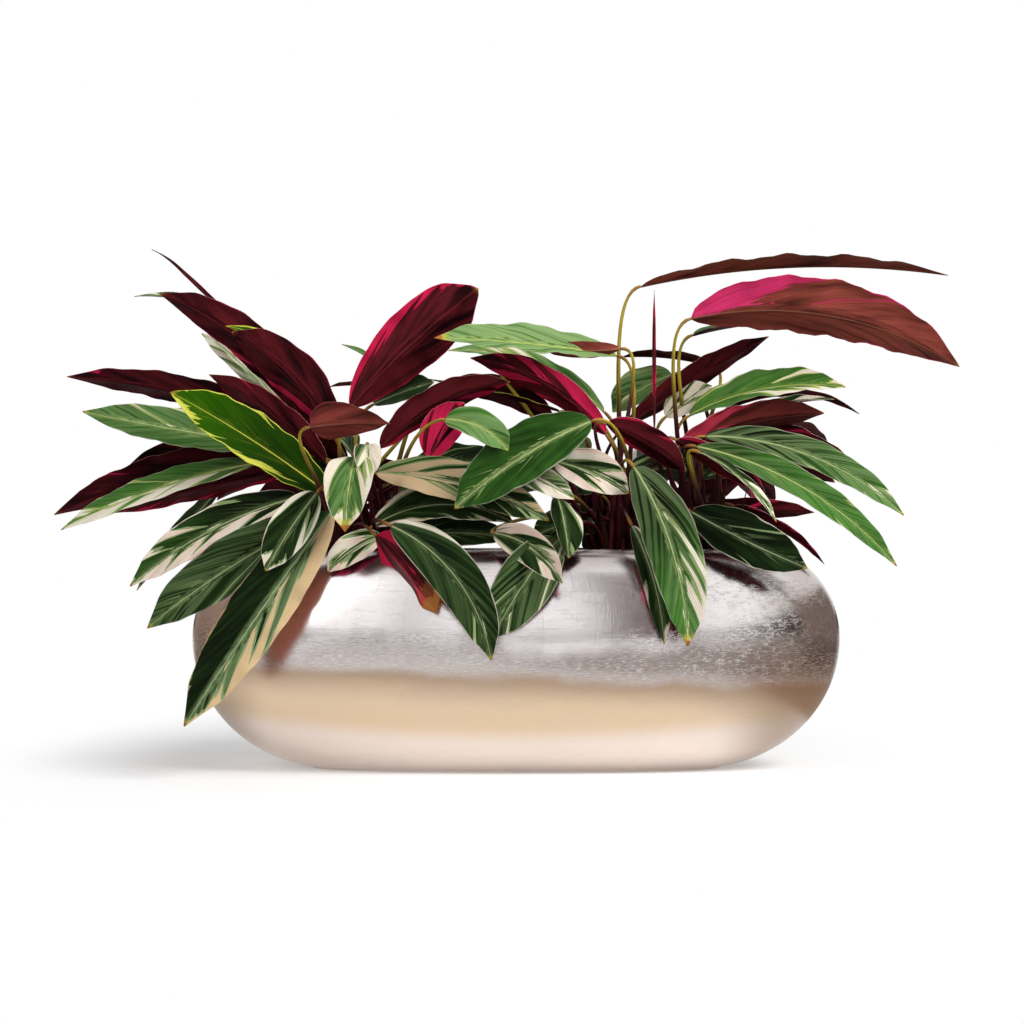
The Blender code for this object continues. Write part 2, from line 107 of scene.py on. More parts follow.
LEAVES = [
    # left clump, from the top round to the bottom
    grown("left_01", (-25.5, 4.2, 42.2), 180, 62, 20, 26.3, 6, -62, WINE),
    grown(
        "left_02", (-22.8, 0, 41.4), 180, 62, 28, 18, 6.8, -65, WINE,
        cream=0.12, lean=-0.7, fade=1.2,
    ),
    grown("left_03", (-28.5, 10, 47.9), 180, 64, -6, 25, 2.4, 35, STRIPED),
    grown("left_04", (-29.5, 12.5, 48.8), 180, 48, 42, 24.5, 0.8, -60, WINE, cream=0.2, curl=20),
    grown(
        "left_05", (-29.0, 6.8, 44.2), 178, 51, 34, 15, 3.8, 60, SILVERY,
        silver=1.0, cream=0.6, bright=0.1,
    ),
    grown("left_06", (-28.0, 1, 42.4), 183, 20, 4, 28.5, 4.8, -48, WINE),
    grown("left_07", (-23.5, -1.5, 37.8), 182, 45, 28, 18, 4.5, -55, WINE),
    grown(
        "left_08", (-28.5, -2.5, 39.7), 180, 7, 12, 25.3, 5.6, 62, SILVERY,
        cream=0.12, lean=-0.4, silver=0.4,
    ),
    grown(
        "left_09", (-22.8, -5.3, 33.6), 197, 37, 27, 23, 7.0, 66, LIME,
        cream=0.05, edge=1.5, lean=0.5, fade=-0.6, cup=14, full=0.5,
    ),
    grown("left_10", (-27.0, 2.5, 38.3), 180, 14, -22, 22.5, 5, -50, WINE),
    grown("left_11", (-26.5, 0.3, 38.6), 180, -3, -24, 32, 6, -50, WINE),
    grown(
        "left_12", (-31.5, -5, 37.5), 184, -10, -28, 25.3, 4, 55, GREEN,
        cream=0.42, lean=0.6, fade=-1.0, silver=0.3,
    ),
    grown("left_13", (-27.5, -3.5, 36.7), 182, -10, -16, 24, 5, -50, WINE, cream=0.12, lean=-0.8),
    grown("left_14", (-35.5, 4.5, 36.2), 184, -44, -56, 19, 3, 40, FOREST, cream=0.2, blush=0.8),
    grown(
        "left_15", (-26.3, -7, 33.3), 188, -14, -42, 23.2, 5.5, 65, BLUSH,
        cream=0.44, lean=0.7, fade=-0.5,
    ),
    grown(
        "left_16", (-24.0, -9.5, 30.5), 193, -25, -40, 24, 7, 68, FOREST,
        cream=0.0, silver=0.25, feather=0.5, rim=0.15,
    ),
    grown("left_17", (-23.8, -12, 33.7), 212, -48, -60, 11.5, 5.2, 60, STRIPED, cream=0.30, edge=1.3),
    grown(
        "left_18", (-22.0, -11.6, 31.5), 204, -52, -56, 31, 7.6, 62, STRIPED,
        cream=0.22, edge=1.4, lean=1.5, fade=0.5, blush=0.0, warm=1.0, silver=0.5, bright=0.0, rim=0.5,
    ),
    grown(
        "left_19", (-19.3, -11, 38.0), 264, -30, -75, 11.6, 6.2, 0, MILKY,
        cream=0.42, edge=1.3, bright=0.3, burn=0.07, full=0.1,
    ),
    grown("left_20", (-24.6, -11.5, 41.6), 350, 8, -4, 9.8, 5.4, -55, BROWN, warm=0.5, full=-0.4),
    grown(
        "left_21", (-20.3, -5, 44.2), 0, 50, 36, 21.5, 8.2, -75, RUBY,
        cream=0.0, edge=2.8, lean=-0.9, fade=0.5, blush=0.2, rim=0.5, full=0.8,
    ),
    grown(
        "left_22", (-16.5, -5.8, 39.3), 0, 46, 8, 18, 5.2, -48, WINE,
        cream=0.12, lean=0.8, blush=0.3,
    ),
    grown("left_23", (-8.5, -11.5, 42.5), 335, 0, -50, 9.5, 4.5, 50, SILVERY, bright=0.4),
    grown("left_24", (-17.0, -7.7, 36.2), 343, 0, -30, 23, 5.5, 68, PEACH, cream=0.52, fade=0.8),
    grown(
        "left_25", (-17.2, -8.2, 29.8), 350, 32, -30, 18, 5.6, 55, FOREST,
        cream=0.20, edge=1.6, blush=0.9, rim=1.0, feather=0.2,
    ),
    grown(
        "left_26", (-14.8, -15.3, 29.8), 340, -22, -80, 21, 6, 72, FOREST,
        cream=0.05, silver=0.12, feather=0.35, rim=0.6,
    ),
    grown(
        "left_27", (-16.6, -14, 28.6), 335, -42, -54, 12, 7, -72, RUBY,
        cream=0.52, blush=0.15, burn=0.16,
    ),
    # middle clump
    grown("middle_01", (5.5, -2, 44.0), 188, 14, 12, 17, 2.6, 5, LIME),
    grown("middle_02", (11.0, -4, 41.0), 186, 50, 8, 19.5, 4.2, -60, RUBY, cream=0.45, fade=0.8),
    grown("middle_03", (11.0, 0.5, 44.0), 178, 45, -2, 21.5, 4, 35, SILVERY, cream=0.3, bright=0.4),
    grown(
        "middle_04", (12.5, -2, 50.8), 197, 8, 0, 23.5, 6, 40, GREEN,
        cream=-0.2, bright=0.8, silver=0.9, feather=0.3, burn=0.04, full=0.35,
    ),
    grown(
        "middle_05", (9.0, -11, 42.3), 195, -22, -42, 20, 7.5, 65, GREEN,
        cream=0.0, bright=0.20, silver=0.0, feather=1.0, rim=0.3,
    ),
    grown("middle_06", (4.5, -10, 37.5), 348, -10, -36, 10, 5.5, 65, BLUSH),
    grown("middle_07", (5.0, -11, 33.0), 285, -40, -75, 8.5, 4.5, -20, FOREST),
    grown(
        "middle_08", (5.0, -14.5, 28.2), 205, -45, -62, 14.5, 7, 70, FOREST,
        cream=0.06, silver=0.3, feather=0.5, rim=0.5,
    ),
    grown("middle_09", (15.5, 0, 59.6), 355, 12, -9, 38, 5.5, -8, BROWN),
    grown("middle_10", (17.0, -3.5, 41.0), 90, 88, 90, 17.8, 1.0, 180, RUBY, cup=60),
    grown("middle_11", (14.0, 3.5, 42.5), 0, 36, 28, 21, 4.2, -50, WINE),
    grown("middle_12", (11.0, -6.5, 42.2), 345, -20, -42, 11.5, 4.5, -60, WINE, cream=0.2),
    grown(
        "middle_13", (14.0, -12.5, 36.8), 318, -50, -88, 23, 7, 38, FOREST,
        cream=0.10, lean=0.5, silver=0.35, bright=0.16, fade=-0.9, feather=0.6, burn=0.03,
    ),
    grown(
        "middle_14", (13.8, -12.6, 29.8), 315, -55, -85, 15, 3, 45, FOREST,
        cream=0.24, blush=1.0, edge=1.8, lean=0.6,
    ),
    # right clump
    grown(
        "right_13", (21.5, -3, 55.3), 350, 12, -34, 34, 8.8, -54, RUBY,
        cream=-0.25, edge=1.2, lean=-2.0, fade=3.4, blush=1, warm=0.8, cup=22, full=0.3,
    ),
    grown(
        "right_01", (21.5, 0, 43.5), 346, 28, -9, 20, 6.0, 40, GREEN,
        cream=0.16, edge=0.8, silver=0.25, bright=0.6, fade=-0.9, lean=-0.4, feather=0.3,
    ),
    grown("right_02", (24.5, 2, 41.8), 0, 28, 0, 16, 3.5, 20, STRIPED),
    grown(
        "right_03", (20.0, -3, 39.5), 0, 24, 2, 18.5, 5.5, -45, RUBY,
        cream=0.2, lean=-0.6, fade=2.6, warm=0.25, rim=0.3, full=0.4,
    ),
    grown(
        "right_04", (23.0, -6, 40.7), 346, 0, -44, 26.5, 4.2, 60, SILVERY,
        cream=0.06, edge=0.4, silver=0.5, bright=0.15, lean=0.2, fade=-0.9, feather=0.3,
    ),
    grown(
        "right_05", (21.7, -8.5, 39.4), 347, -12, -50, 28.5, 4.0, 60, GREEN,
        cream=0.08, edge=0.6, silver=0.25, bright=0.34, feather=0.35, fade=-0.7,
    ),
    grown("right_06", (25.5, 1, 42.0), 0, -4, -34, 18.5, 4.5, -45, RUBY),
    grown("right_07", (22.0, -12, 38.5), 345, -25, -60, 12.5, 2.5, 20, STRIPED),
    grown(
        "right_08", (21.0, -10, 31.5), 348, -30, -22, 15.5, 6.5, 68, FOREST,
        cream=0.04, silver=0.0, feather=0.35, bright=0.02, rim=0.7,
    ),
    grown("right_09", (23.0, 3.5, 32.0), 0, 0, -4, 14.5, 3.0, -60, RUBY, cream=0.2),
    grown("right_10", (27.0, 0, 32.3), 345, -20, -45, 13.5, 2.6, -30, RUBY, cream=0.35),
    grown(
        "right_12", (19.5, -7.0, 40.2), 352, -28, -34, 12.5, 4, -50, RUBY,
        cream=0.0, edge=2.4, lean=-0.8,
    ),
    # leaves on the far side
    grown("left_28", (-21.0, 9, 39.0), 120, 40, -60, 22, 7, 0, STRIPED),
    grown("left_29", (-14.0, 9, 35.0), 60, 20, -60, 20, 6.5, 0, FOREST),
    grown("middle_15", (9.0, 9, 39.0), 120, 30, -60, 22, 7, 0, GREEN),
    grown("right_11", (25.0, 10, 36.0), 55, 20, -55, 17, 6.5, 0, STRIPED),
]

# Small and half-hidden leaves that have no solid of their own.
STRAYS = [
    grown("left_stray_01", (-17.9, -10, 39.5), 275, -20, -80, 5.5, 3.5, 0, MILKY),
    grown("left_stray_02", (-10.6, -6, 38.1), 0, 65, 50, 8, 5.5, -60, RUBY, cream=0.7),
    grown("left_stray_03", (-17.6, -2, 44.8), 0, 25, 15, 8, 4.5, 50, FOREST),
    grown("left_stray_04", (-14.5, 4, 47.2), 180, 10, -8, 9, 3.5, 0, BROWN),
    grown("left_stray_05", (-13.0, 5, 45.2), 180, 60, 20, 12, 2.5, 20, GREEN),
    grown("left_stray_06", (-16.1, -11, 28.5), 200, -15, -50, 8, 4, 60, BLUSH),
    grown("left_stray_07", (-15.5, 0, 33.0), 20, 35, -20, 15, 5.5, 30, FOREST),
    grown("left_stray_08", (-22.5, 5, 34.0), 150, 30, -35, 20, 6, -20, WINE),
    grown("left_stray_09", (-8.0, 0, 47.5), 0, -5, -35, 14, 4.5, -50, WINE),
    grown("left_stray_10", (-14.0, 3, 36.0), 10, 25, -15, 14, 6, 40, FOREST),
    grown("left_stray_11", (-18.0, 4, 34.0), 200, 30, -10, 14, 6, 40, FOREST),
    grown("left_stray_12", (-21.0, 2, 38.0), 170, 25, -10, 12, 6, -50, WINE),
    grown("left_stray_13", (-22.8, 1.2, 43.4), 180, 72, 8, 18.6, 2.2, 65, LIME),
    grown("left_stray_14", (-14.8, -7, 28.3), 350, 10, -10, 14.5, 4.6, 62, FOREST, blush=0.9, rim=1.0),
    grown("left_stray_15", (-17.5, 4, 31.5), 5, 34, 4, 12, 7, -60, WINE),
    grown("left_stray_16", (-12.0, 6, 33.0), 175, 25, 10, 12, 7, -70, WINE),
    grown("left_stray_17", (-24.0, 3, 31.0), 160, 30, 0, 10, 6, -60, WINE),
    grown("middle_stray_11", (15.0, 5, 29.0), 172, 46, 12, 14, 8, -70, WINE),
    grown("middle_stray_12", (9.0, 4, 28.5), 10, 50, 20, 13, 8, -70, WINE),
    grown("middle_stray_13", (4.0, 3, 28.0), 20, 40, -10, 12, 6, -60, WINE),
    grown("right_stray_09", (19.0, 6, 30.0), 20, 44, 10, 12, 6, -60, WINE),
    grown("middle_stray_01", (-2.6, -12.5, 28.9), 318, -5, -52, 12.5, 4.4, 70, BLUSH),
    grown("middle_stray_02", (-2.0, -11, 37.3), 340, -18, -32, 10.5, 3.5, 65, MILKY),
    grown("middle_stray_03", (8.0, 5, 34.0), 160, 30, -30, 18, 6, 20, FOREST),
    grown("middle_stray_04", (16.0, 7, 36.0), 70, 40, -45, 19, 6, 0, STRIPED),
    grown("middle_stray_05", (10.0, 2, 34.0), 170, 25, -20, 14, 6, 50, FOREST),
    grown("middle_stray_06", (14.0, 3, 36.0), 10, 20, -20, 12, 6, 50, FOREST),
    grown("middle_stray_07", (11.0, 0, 30.0), 200, 10, -30, 10, 5, 60, FOREST),
    grown("middle_stray_08", (12.8, -3, 51.6), 183, -6, 4, 9.5, 2.4, -60, BROWN),
    grown("middle_stray_09", (4.5, 2, 47.8), 182, 5, -20, 5.5, 4, 50, STRIPED),
    grown("middle_stray_10", (-2.0, -1, 50.6), 0, -5, -20, 6, 1.6, -40, RUBY),
    grown("right_stray_08", (24.0, 4, 36.0), 0, 20, -15, 12, 5.5, 40, FOREST),
    grown("right_stray_01", (22.1, 2, 53.7), 0, 15, 0, 12, 5, 10, GREEN),
    grown("right_stray_02", (24.7, 6, 50.2), 180, 15, -5, 11.5, 3.5, -10, WINE),
    grown("right_stray_03", (19.8, 6, 49.0), 180, -20, -45, 9, 6, 50, SILVERY, warm=0.5),
    grown("right_stray_04", (18.8, 3, 43.5), 0, 38, 30, 7, 4.5, 55, MILKY),
    grown("right_stray_05", (26.0, 4, 44.2), 0, 28, -30, 18, 2.5, -20, WINE),
    grown("right_stray_06", (22.9, -4, 39.9), 0, -5, -28, 17, 5, -50, WINE),
    grown("right_stray_07", (26.5, 8, 40.0), 30, 35, -35, 18, 5.5, 0, FOREST),
]

# ---------------------------------------------------------------- how a leaf is built
Clump = namedtuple("Clump", "centre spacing")
CLUMPS = {
    "left": Clump(centre=(-19.0, -0.5), spacing=(1.7, 1.9)),
    "middle": Clump(centre=(12.5, -0.5), spacing=(1.7, 1.9)),
    "right": Clump(centre=(22.5, 0.0), spacing=(1.5, 1.9)),
}
STRAY_RING = (3.2, 4.2)      # how far from a clump's centre its small leaves' stalks stand
STRAY_TURN = 2.4             # radians from one of them to the next
STALK_RADIUS_FOOT = 0.42 * CM
STALK_RADIUS_COLLAR = 0.16 * CM
STALK_TAPER = 1.3
STALK_STATIONS = 22
STALK_SIDES = 10
STALK_LIFT = 0.55            # share of its reach for which the stalk keeps upright
STALK_LEAD = 4.5 * CM        # how soon before the collar the stalk turns into line with the blade
MOST_LEAD = 0.5
KNEE_PLACE, KNEE_WIDTH = 0.94, 0.05
COLLAR_FULLNESS = 0.5        # exponents of the blade's outline: the lower, the fuller that end
TIP_FULLNESS = 0.8
FULL_COLLAR = 0.75           # and what they turn into where full is 1
FULL_TIP = 0.40
DRIP = 0.5                   # how much the blade's end narrows to a point
DRIP_START = 0.86
VEIN_SLANT = 2.5             # how far along the blade a side vein gets for each step outwards
VEIN_CURVE = 0.24            # and how much it turns towards the tip
CURL_START = 0.82            # share of the blade at which its tip starts to curl
BLADE_ROWS = 46
BLADE_COLUMNS = 14
RIPPLE_SPREAD = (0.8, 1.25)  # the margin's waves differ from leaf to leaf by so much
SECOND_RIPPLE = 2.3          # waves of the finer ripple for each of the main one
RIPPLE_END = 6               # the ripple dies out over the last sixth of the blade
RIB_THICKNESS = 0.09 * CM
MARGIN_THICKNESS = 0.03 * CM
RIDGE_HEIGHT = 0.16 * CM
RIDGE_WIDTH = 0.16 * CM
GROOVE_SHARE = 0.3           # depth of the groove over the ridge, as a share of its height
TIP_HALF_WIDTH = 0.06 * CM
SEED_LIMIT = 20              # a seed that is drawn lies between 1 and about this
SEED_STEP, SIDE_STEP = 3.7, 1.9   # how far apart the noise of two leaves or two halves lies
LARGEST_STRAY = 0.035        # how far a dressed leaf may reach out of its solid's box


def xyz(x, y, z):
    """Points or marks from their three parts. A part may be one number for all of them."""
    return np.stack(np.broadcast_arrays(x, y, z), axis=-1)


def direction(heading, slope):
    heading, slope = np.radians(heading), np.radians(slope)
    return xyz(np.cos(heading) * np.cos(slope), np.sin(heading) * np.cos(slope), np.sin(slope))


def approach(leaf, lead=STALK_LEAD):
    """The point in line with the blade that the stalk heads for, just short of the collar."""
    return np.array(leaf.collar) * CM - direction(leaf.heading, leaf.rise) * lead


def seats(leaves, clump):
    """Each leaf's foot on the compost: rows from front to back, each row from left to right."""
    rows = math.ceil(math.sqrt(len(leaves)))
    by_depth = sorted(leaves, key=lambda leaf: approach(leaf)[1])
    found = {}
    for row in range(rows):
        first, last = len(leaves) * row // rows, len(leaves) * (row + 1) // rows
        members = sorted(by_depth[first:last], key=lambda leaf: approach(leaf)[0])
        for column, leaf in enumerate(members):
            x = clump.centre[0] + (column - (len(members) - 1) / 2) * clump.spacing[0]
            y = clump.centre[1] + (row - (rows - 1) / 2) * clump.spacing[1]
            found[leaf.name] = np.array((x * CM, y * CM, SOIL_TOP + SEAT_GAP))
    return found


def stalk_line(leaf, foot):
    """Points of the stalk: it leaves the compost upright and meets the blade in line."""
    collar = np.array(leaf.collar) * CM
    reach = np.linalg.norm(collar - foot)
    lift = foot + np.array((0, 0, reach * STALK_LIFT))
    lead = approach(leaf, min(STALK_LEAD, reach * MOST_LEAD))
    b = np.linspace(0, 1, STALK_STATIONS)[:, None]
    a = 1 - b
    return foot * a ** 3 + lift * 3 * a * a * b + lead * 3 * a * b * b + collar * b ** 3


def midrib_line(leaf):
    """Points of the midrib from the collar to the tip."""
    middles = (np.arange(BLADE_ROWS) + 0.5) / BLADE_ROWS
    slopes = leaf.rise + (leaf.fall - leaf.rise) * middles
    slopes -= leaf.curl * np.clip((middles - CURL_START) / (1 - CURL_START), 0, 1) ** 1.5
    steps = direction(leaf.heading, slopes) * (leaf.length / BLADE_ROWS)
    points = np.vstack((np.zeros(3), np.cumsum(steps, axis=0)))
    return (points + np.array(leaf.collar)) * CM


def collar_face(leaf):
    """The way the upper side looks at the collar."""
    heading = math.radians(leaf.heading)
    up = direction(leaf.heading, leaf.rise + 90)
    side = np.array((math.sin(heading), -math.cos(heading), 0))
    if math.cos(heading) < 0:
        side = -side
    roll = math.radians(leaf.roll)
    return up * math.cos(roll) + side * math.sin(roll)


def unit(rows):
    return rows / np.linalg.norm(rows, axis=-1, keepdims=True)


def carried_faces(tangents, face, start):
    """Carries a face direction along the line both ways from the start."""
    faces = np.zeros_like(tangents)
    for order in (range(start, -1, -1), range(start, len(tangents))):
        carried = face
        for i in order:
            carried = unit(carried - tangents[i] * carried.dot(tangents[i]))
            faces[i] = carried
    return faces


def outline(share, full):
    """Half width of a blade along its length, 1 at its widest."""
    near = COLLAR_FULLNESS + (FULL_COLLAR - COLLAR_FULLNESS) * full
    far = TIP_FULLNESS + (FULL_TIP - TIP_FULLNESS) * full
    widest = near / (near + far)
    fullest = widest ** near * (1 - widest) ** far
    drip = 1 - DRIP * np.clip((share - DRIP_START) / (1 - DRIP_START), 0, 1)
    return drip * share ** near * (1 - share) ** far / fullest


def sheet_faces(rows, columns):
    """Quads of two sheets of points, the second under the first, and of the rim between them."""
    count = rows * columns
    corners = [i * columns + j for i in range(rows - 1) for j in range(columns - 1)]
    top = [(a, a + 1, a + columns + 1, a + columns) for a in corners]
    under = [tuple(a + count for a in reversed(quad)) for quad in top]
    edge = list(range(columns))
    edge += [i * columns + columns - 1 for i in range(1, rows)]
    edge += [(rows - 1) * columns + j for j in range(columns - 2, -1, -1)]
    edge += [i * columns for i in range(rows - 2, 0, -1)]
    rim = [(b, a, a + count, b + count) for a, b in zip(edge, edge[1:] + edge[:1])]
    return top, rim, under


def ring_faces(rings, sides):
    """Quads between closed rings of points, and a face over either end."""
    quads = []
    for i in range(rings - 1):
        for j in range(sides):
            a, b = i * sides + j, i * sides + (j + 1) % sides
            quads.append((a, b, b + sides, a + sides))
    last = (rings - 1) * sides
    return quads + [tuple(range(sides - 1, -1, -1)), tuple(last + j for j in range(sides))]


def place_object(name, data):
    """A new object of this data, in the scene."""
    obj = bpy.data.objects.new(name, data)
    bpy.context.scene.collection.objects.link(obj)
    return obj


def make_mesh(name, points, faces, *materials):
    mesh = bpy.data.meshes.new(name)
    mesh.from_pydata([tuple(point) for point in points], [], faces)
    for material in materials:
        mesh.materials.append(material)
    return mesh


def blade_mesh(leaf, centres, faces, sides, settings, rng):
    """Upper and lower sheets of a blade, joined round the margin, with their pattern marks."""
    share = np.linspace(0, 1, BLADE_ROWS + 1)
    v = np.sin(np.linspace(-math.pi / 2, math.pi / 2, BLADE_COLUMNS + 1))
    half = np.maximum(TIP_HALF_WIDTH, leaf.width * CM / 2 * outline(share, leaf.full))
    turn = np.radians(leaf.twist) * share
    cos, sin = np.cos(turn)[:, None], np.sin(turn)[:, None]
    faces, sides = faces * cos + sides * sin, sides * cos - faces * sin
    cup = math.radians(leaf.cup)
    u_grid, v_grid = np.meshgrid(share, v, indexing="ij")
    w_grid = half[:, None] * np.ones_like(v_grid)
    reach = np.abs(v_grid)
    rise = math.sin(cup) * (reach * (1 + settings.bow) - settings.bow * v_grid ** 2)
    swing = np.zeros_like(v_grid)
    for sign in (-1, 1):
        phase = rng.uniform(0, 2 * math.pi)
        wave_length = settings.ripple_length * rng.uniform(*RIPPLE_SPREAD)
        pace = 2 * math.pi * leaf.length * CM / wave_length
        wave = np.sin(u_grid * pace + phase)
        wave += 0.5 * np.sin(u_grid * pace * SECOND_RIPPLE + 2 * phase)
        swing += np.where(v_grid * sign > 0, wave, 0)
    swing *= settings.ripple_depth * reach ** 1.6 * np.minimum(1, (1 - u_grid) * RIPPLE_END)
    lift = w_grid * (rise + swing)
    across = w_grid * v_grid
    middle = (
        centres[:, None, :]
        + sides[:, None, :] * (across * math.cos(cup))[..., None]
        + faces[:, None, :] * lift[..., None]
    )
    thick = MARGIN_THICKNESS + (RIB_THICKNESS - MARGIN_THICKNESS) * (1 - reach)
    ridge = RIDGE_HEIGHT * np.exp(-(across / (RIDGE_WIDTH * (1.1 - u_grid))) ** 2)
    ridge *= (1 - u_grid) ** 0.6
    out = faces[:, None, :]
    upper = middle + out * (thick / 2 - ridge * GROOVE_SHARE)[..., None]
    lower = middle - out * (thick / 2 + ridge)[..., None]
    points = np.concatenate((upper.reshape(-1, 3), lower.reshape(-1, 3)))
    top, rim, under = sheet_faces(*upper.shape[:2])
    across_cm = np.abs(across) / CM
    vein = u_grid * leaf.length - (VEIN_SLANT * across_cm + VEIN_CURVE * across_cm ** 2)
    side = np.sign(v_grid)
    marks = {
        "vein": xyz(vein, across_cm, leaf.seed * SEED_STEP + side * SIDE_STEP),
        "blade": xyz(u_grid, reach, across_cm),
        "side": xyz(side, 1 - 2 * u_grid, 0),
    }
    marks = {key: np.tile(values.reshape(-1, 3), (2, 1)) for key, values in marks.items()}
    slots = [0] * (len(top) + len(rim)) + [1] * len(under)
    return points, top + rim + under, slots, marks


def tube_mesh(centres, faces, sides, radii, seed):
    """A tapered stalk as rings of points, closed at both ends, with its marks."""
    angles = np.linspace(0, 2 * math.pi, STALK_SIDES, endpoint=False)
    ring = (
        sides[:, None, :] * np.cos(angles)[None, :, None]
        + faces[:, None, :] * np.sin(angles)[None, :, None]
    )
    points = (centres[:, None, :] + ring * radii[:, None, None]).reshape(-1, 3)
    quads = ring_faces(len(centres), STALK_SIDES)
    share = np.repeat(np.linspace(0, 1, len(centres)), STALK_SIDES)
    round_cm = np.tile(angles, len(centres)) * 0.3
    along_cm = share * np.linalg.norm(np.diff(centres, axis=0), axis=1).sum() / CM
    marks = {
        "vein": xyz(along_cm, round_cm, seed * SEED_STEP),
        "blade": xyz(share, 0, round_cm),
        "side": np.zeros((len(share), 3)),
    }
    return points, quads, [2] * len(quads), marks


def join_parts(name, parts, materials, look):
    """One object from several (points, faces, slots, marks) parts, and the look as marks."""
    points = np.concatenate([part[0] for part in parts])
    offsets = np.cumsum([0] + [len(part[0]) for part in parts[:-1]])
    faces = [tuple(i + shift for i in face) for part, shift in zip(parts, offsets) for face in part[1]]
    mesh = make_mesh(name, points, faces, *materials)
    mesh.polygons.foreach_set("material_index", [slot for part in parts for slot in part[2]])
    marks = {key: np.concatenate([part[3][key] for part in parts]) for key in parts[0][3]}
    ones = np.ones((len(points), 1))
    marks["share"] = ones * (look.cream, look.edge, look.lean)
    marks["tint"] = ones * (look.blush, look.bright, look.warm)
    marks["mood"] = ones * (look.silver, look.feather, look.rim)
    marks["tip"] = ones * (look.fade, look.burn, 0)
    for key, values in marks.items():
        layer = mesh.attributes.new(key, "FLOAT_VECTOR", "POINT")
        layer.data.foreach_set("vector", np.ascontiguousarray(values, np.float32).ravel())
    mesh.shade_smooth()
    mesh.validate()
    return place_object(name, mesh)


def grow_leaf(name, leaf, foot, materials, settings):
    """A whole leaf, stalk and blade, as one piece."""
    rng = random.Random(name)
    if not leaf.seed:
        leaf = leaf._replace(seed=1 + rng.random() * SEED_LIMIT)
    blade = midrib_line(leaf)
    line = np.vstack((stalk_line(leaf, foot)[:-1], blade))
    start = STALK_STATIONS - 1
    tangents = unit(np.gradient(line, axis=0))
    faces = carried_faces(tangents, collar_face(leaf), start)
    sides = np.cross(faces, tangents)
    share = np.linspace(0, 1, STALK_STATIONS)
    taper = (1 - share) ** STALK_TAPER
    radii = STALK_RADIUS_COLLAR + (STALK_RADIUS_FOOT - STALK_RADIUS_COLLAR) * taper
    radii *= 1 + settings.knee * np.exp(-((share - KNEE_PLACE) / KNEE_WIDTH) ** 2)
    on_stalk = slice(None, STALK_STATIONS)
    parts = [
        blade_mesh(leaf, blade, faces[start:], sides[start:], settings, rng),
        tube_mesh(line[on_stalk], faces[on_stalk], sides[on_stalk], radii, leaf.seed),
    ]
    piece = join_parts(name, parts, materials, leaf.look)
    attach(piece, "root")
    "leaf_green" if leaf.roll >= 0 else "leaf_maroon"
    return piece


def check_reach(piece, node):
    """A dressed leaf has to lie where its solid lies."""
    low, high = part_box(node)
    co = np.empty(len(piece.data.vertices) * 3, np.float32)
    piece.data.vertices.foreach_get("co", co)
    co = co.reshape(-1, 3)
    out = max(np.max(np.array(low) - co.min(0)), np.max(co.max(0) - np.array(high)))
    if out > LARGEST_STRAY:
        raise RuntimeError(f"{piece.name} reaches {out * 1000:.0f} mm out of {node}")


# ---------------------------------------------------------------- shader helpers
def srgb(red, green, blue):
    """A colour from its 0 to 255 screen values, as the linear values that shaders take."""
    def linear(value):
        value /= 255
        return value / 12.92 if value <= 0.04045 else ((value + 0.055) / 1.055) ** 2.4
    return (linear(red), linear(green), linear(blue), 1.0)


class Value:
    """A number or colour that nodes work out. Its sums and products become Math nodes."""

    def __init__(self, tree, socket):
        self.tree = tree
        self.socket = socket

    def __add__(self, other):
        return self.tree.math("ADD", self, other)

    def __sub__(self, other):
        return self.tree.math("SUBTRACT", self, other)

    def __rsub__(self, other):
        return self.tree.math("SUBTRACT", other, self)

    def __mul__(self, other):
        return self.tree.math("MULTIPLY", self, other)

    def __pow__(self, other):
        return self.tree.math("POWER", self, other)

    def __abs__(self):
        return self.tree.math("ABSOLUTE", self)


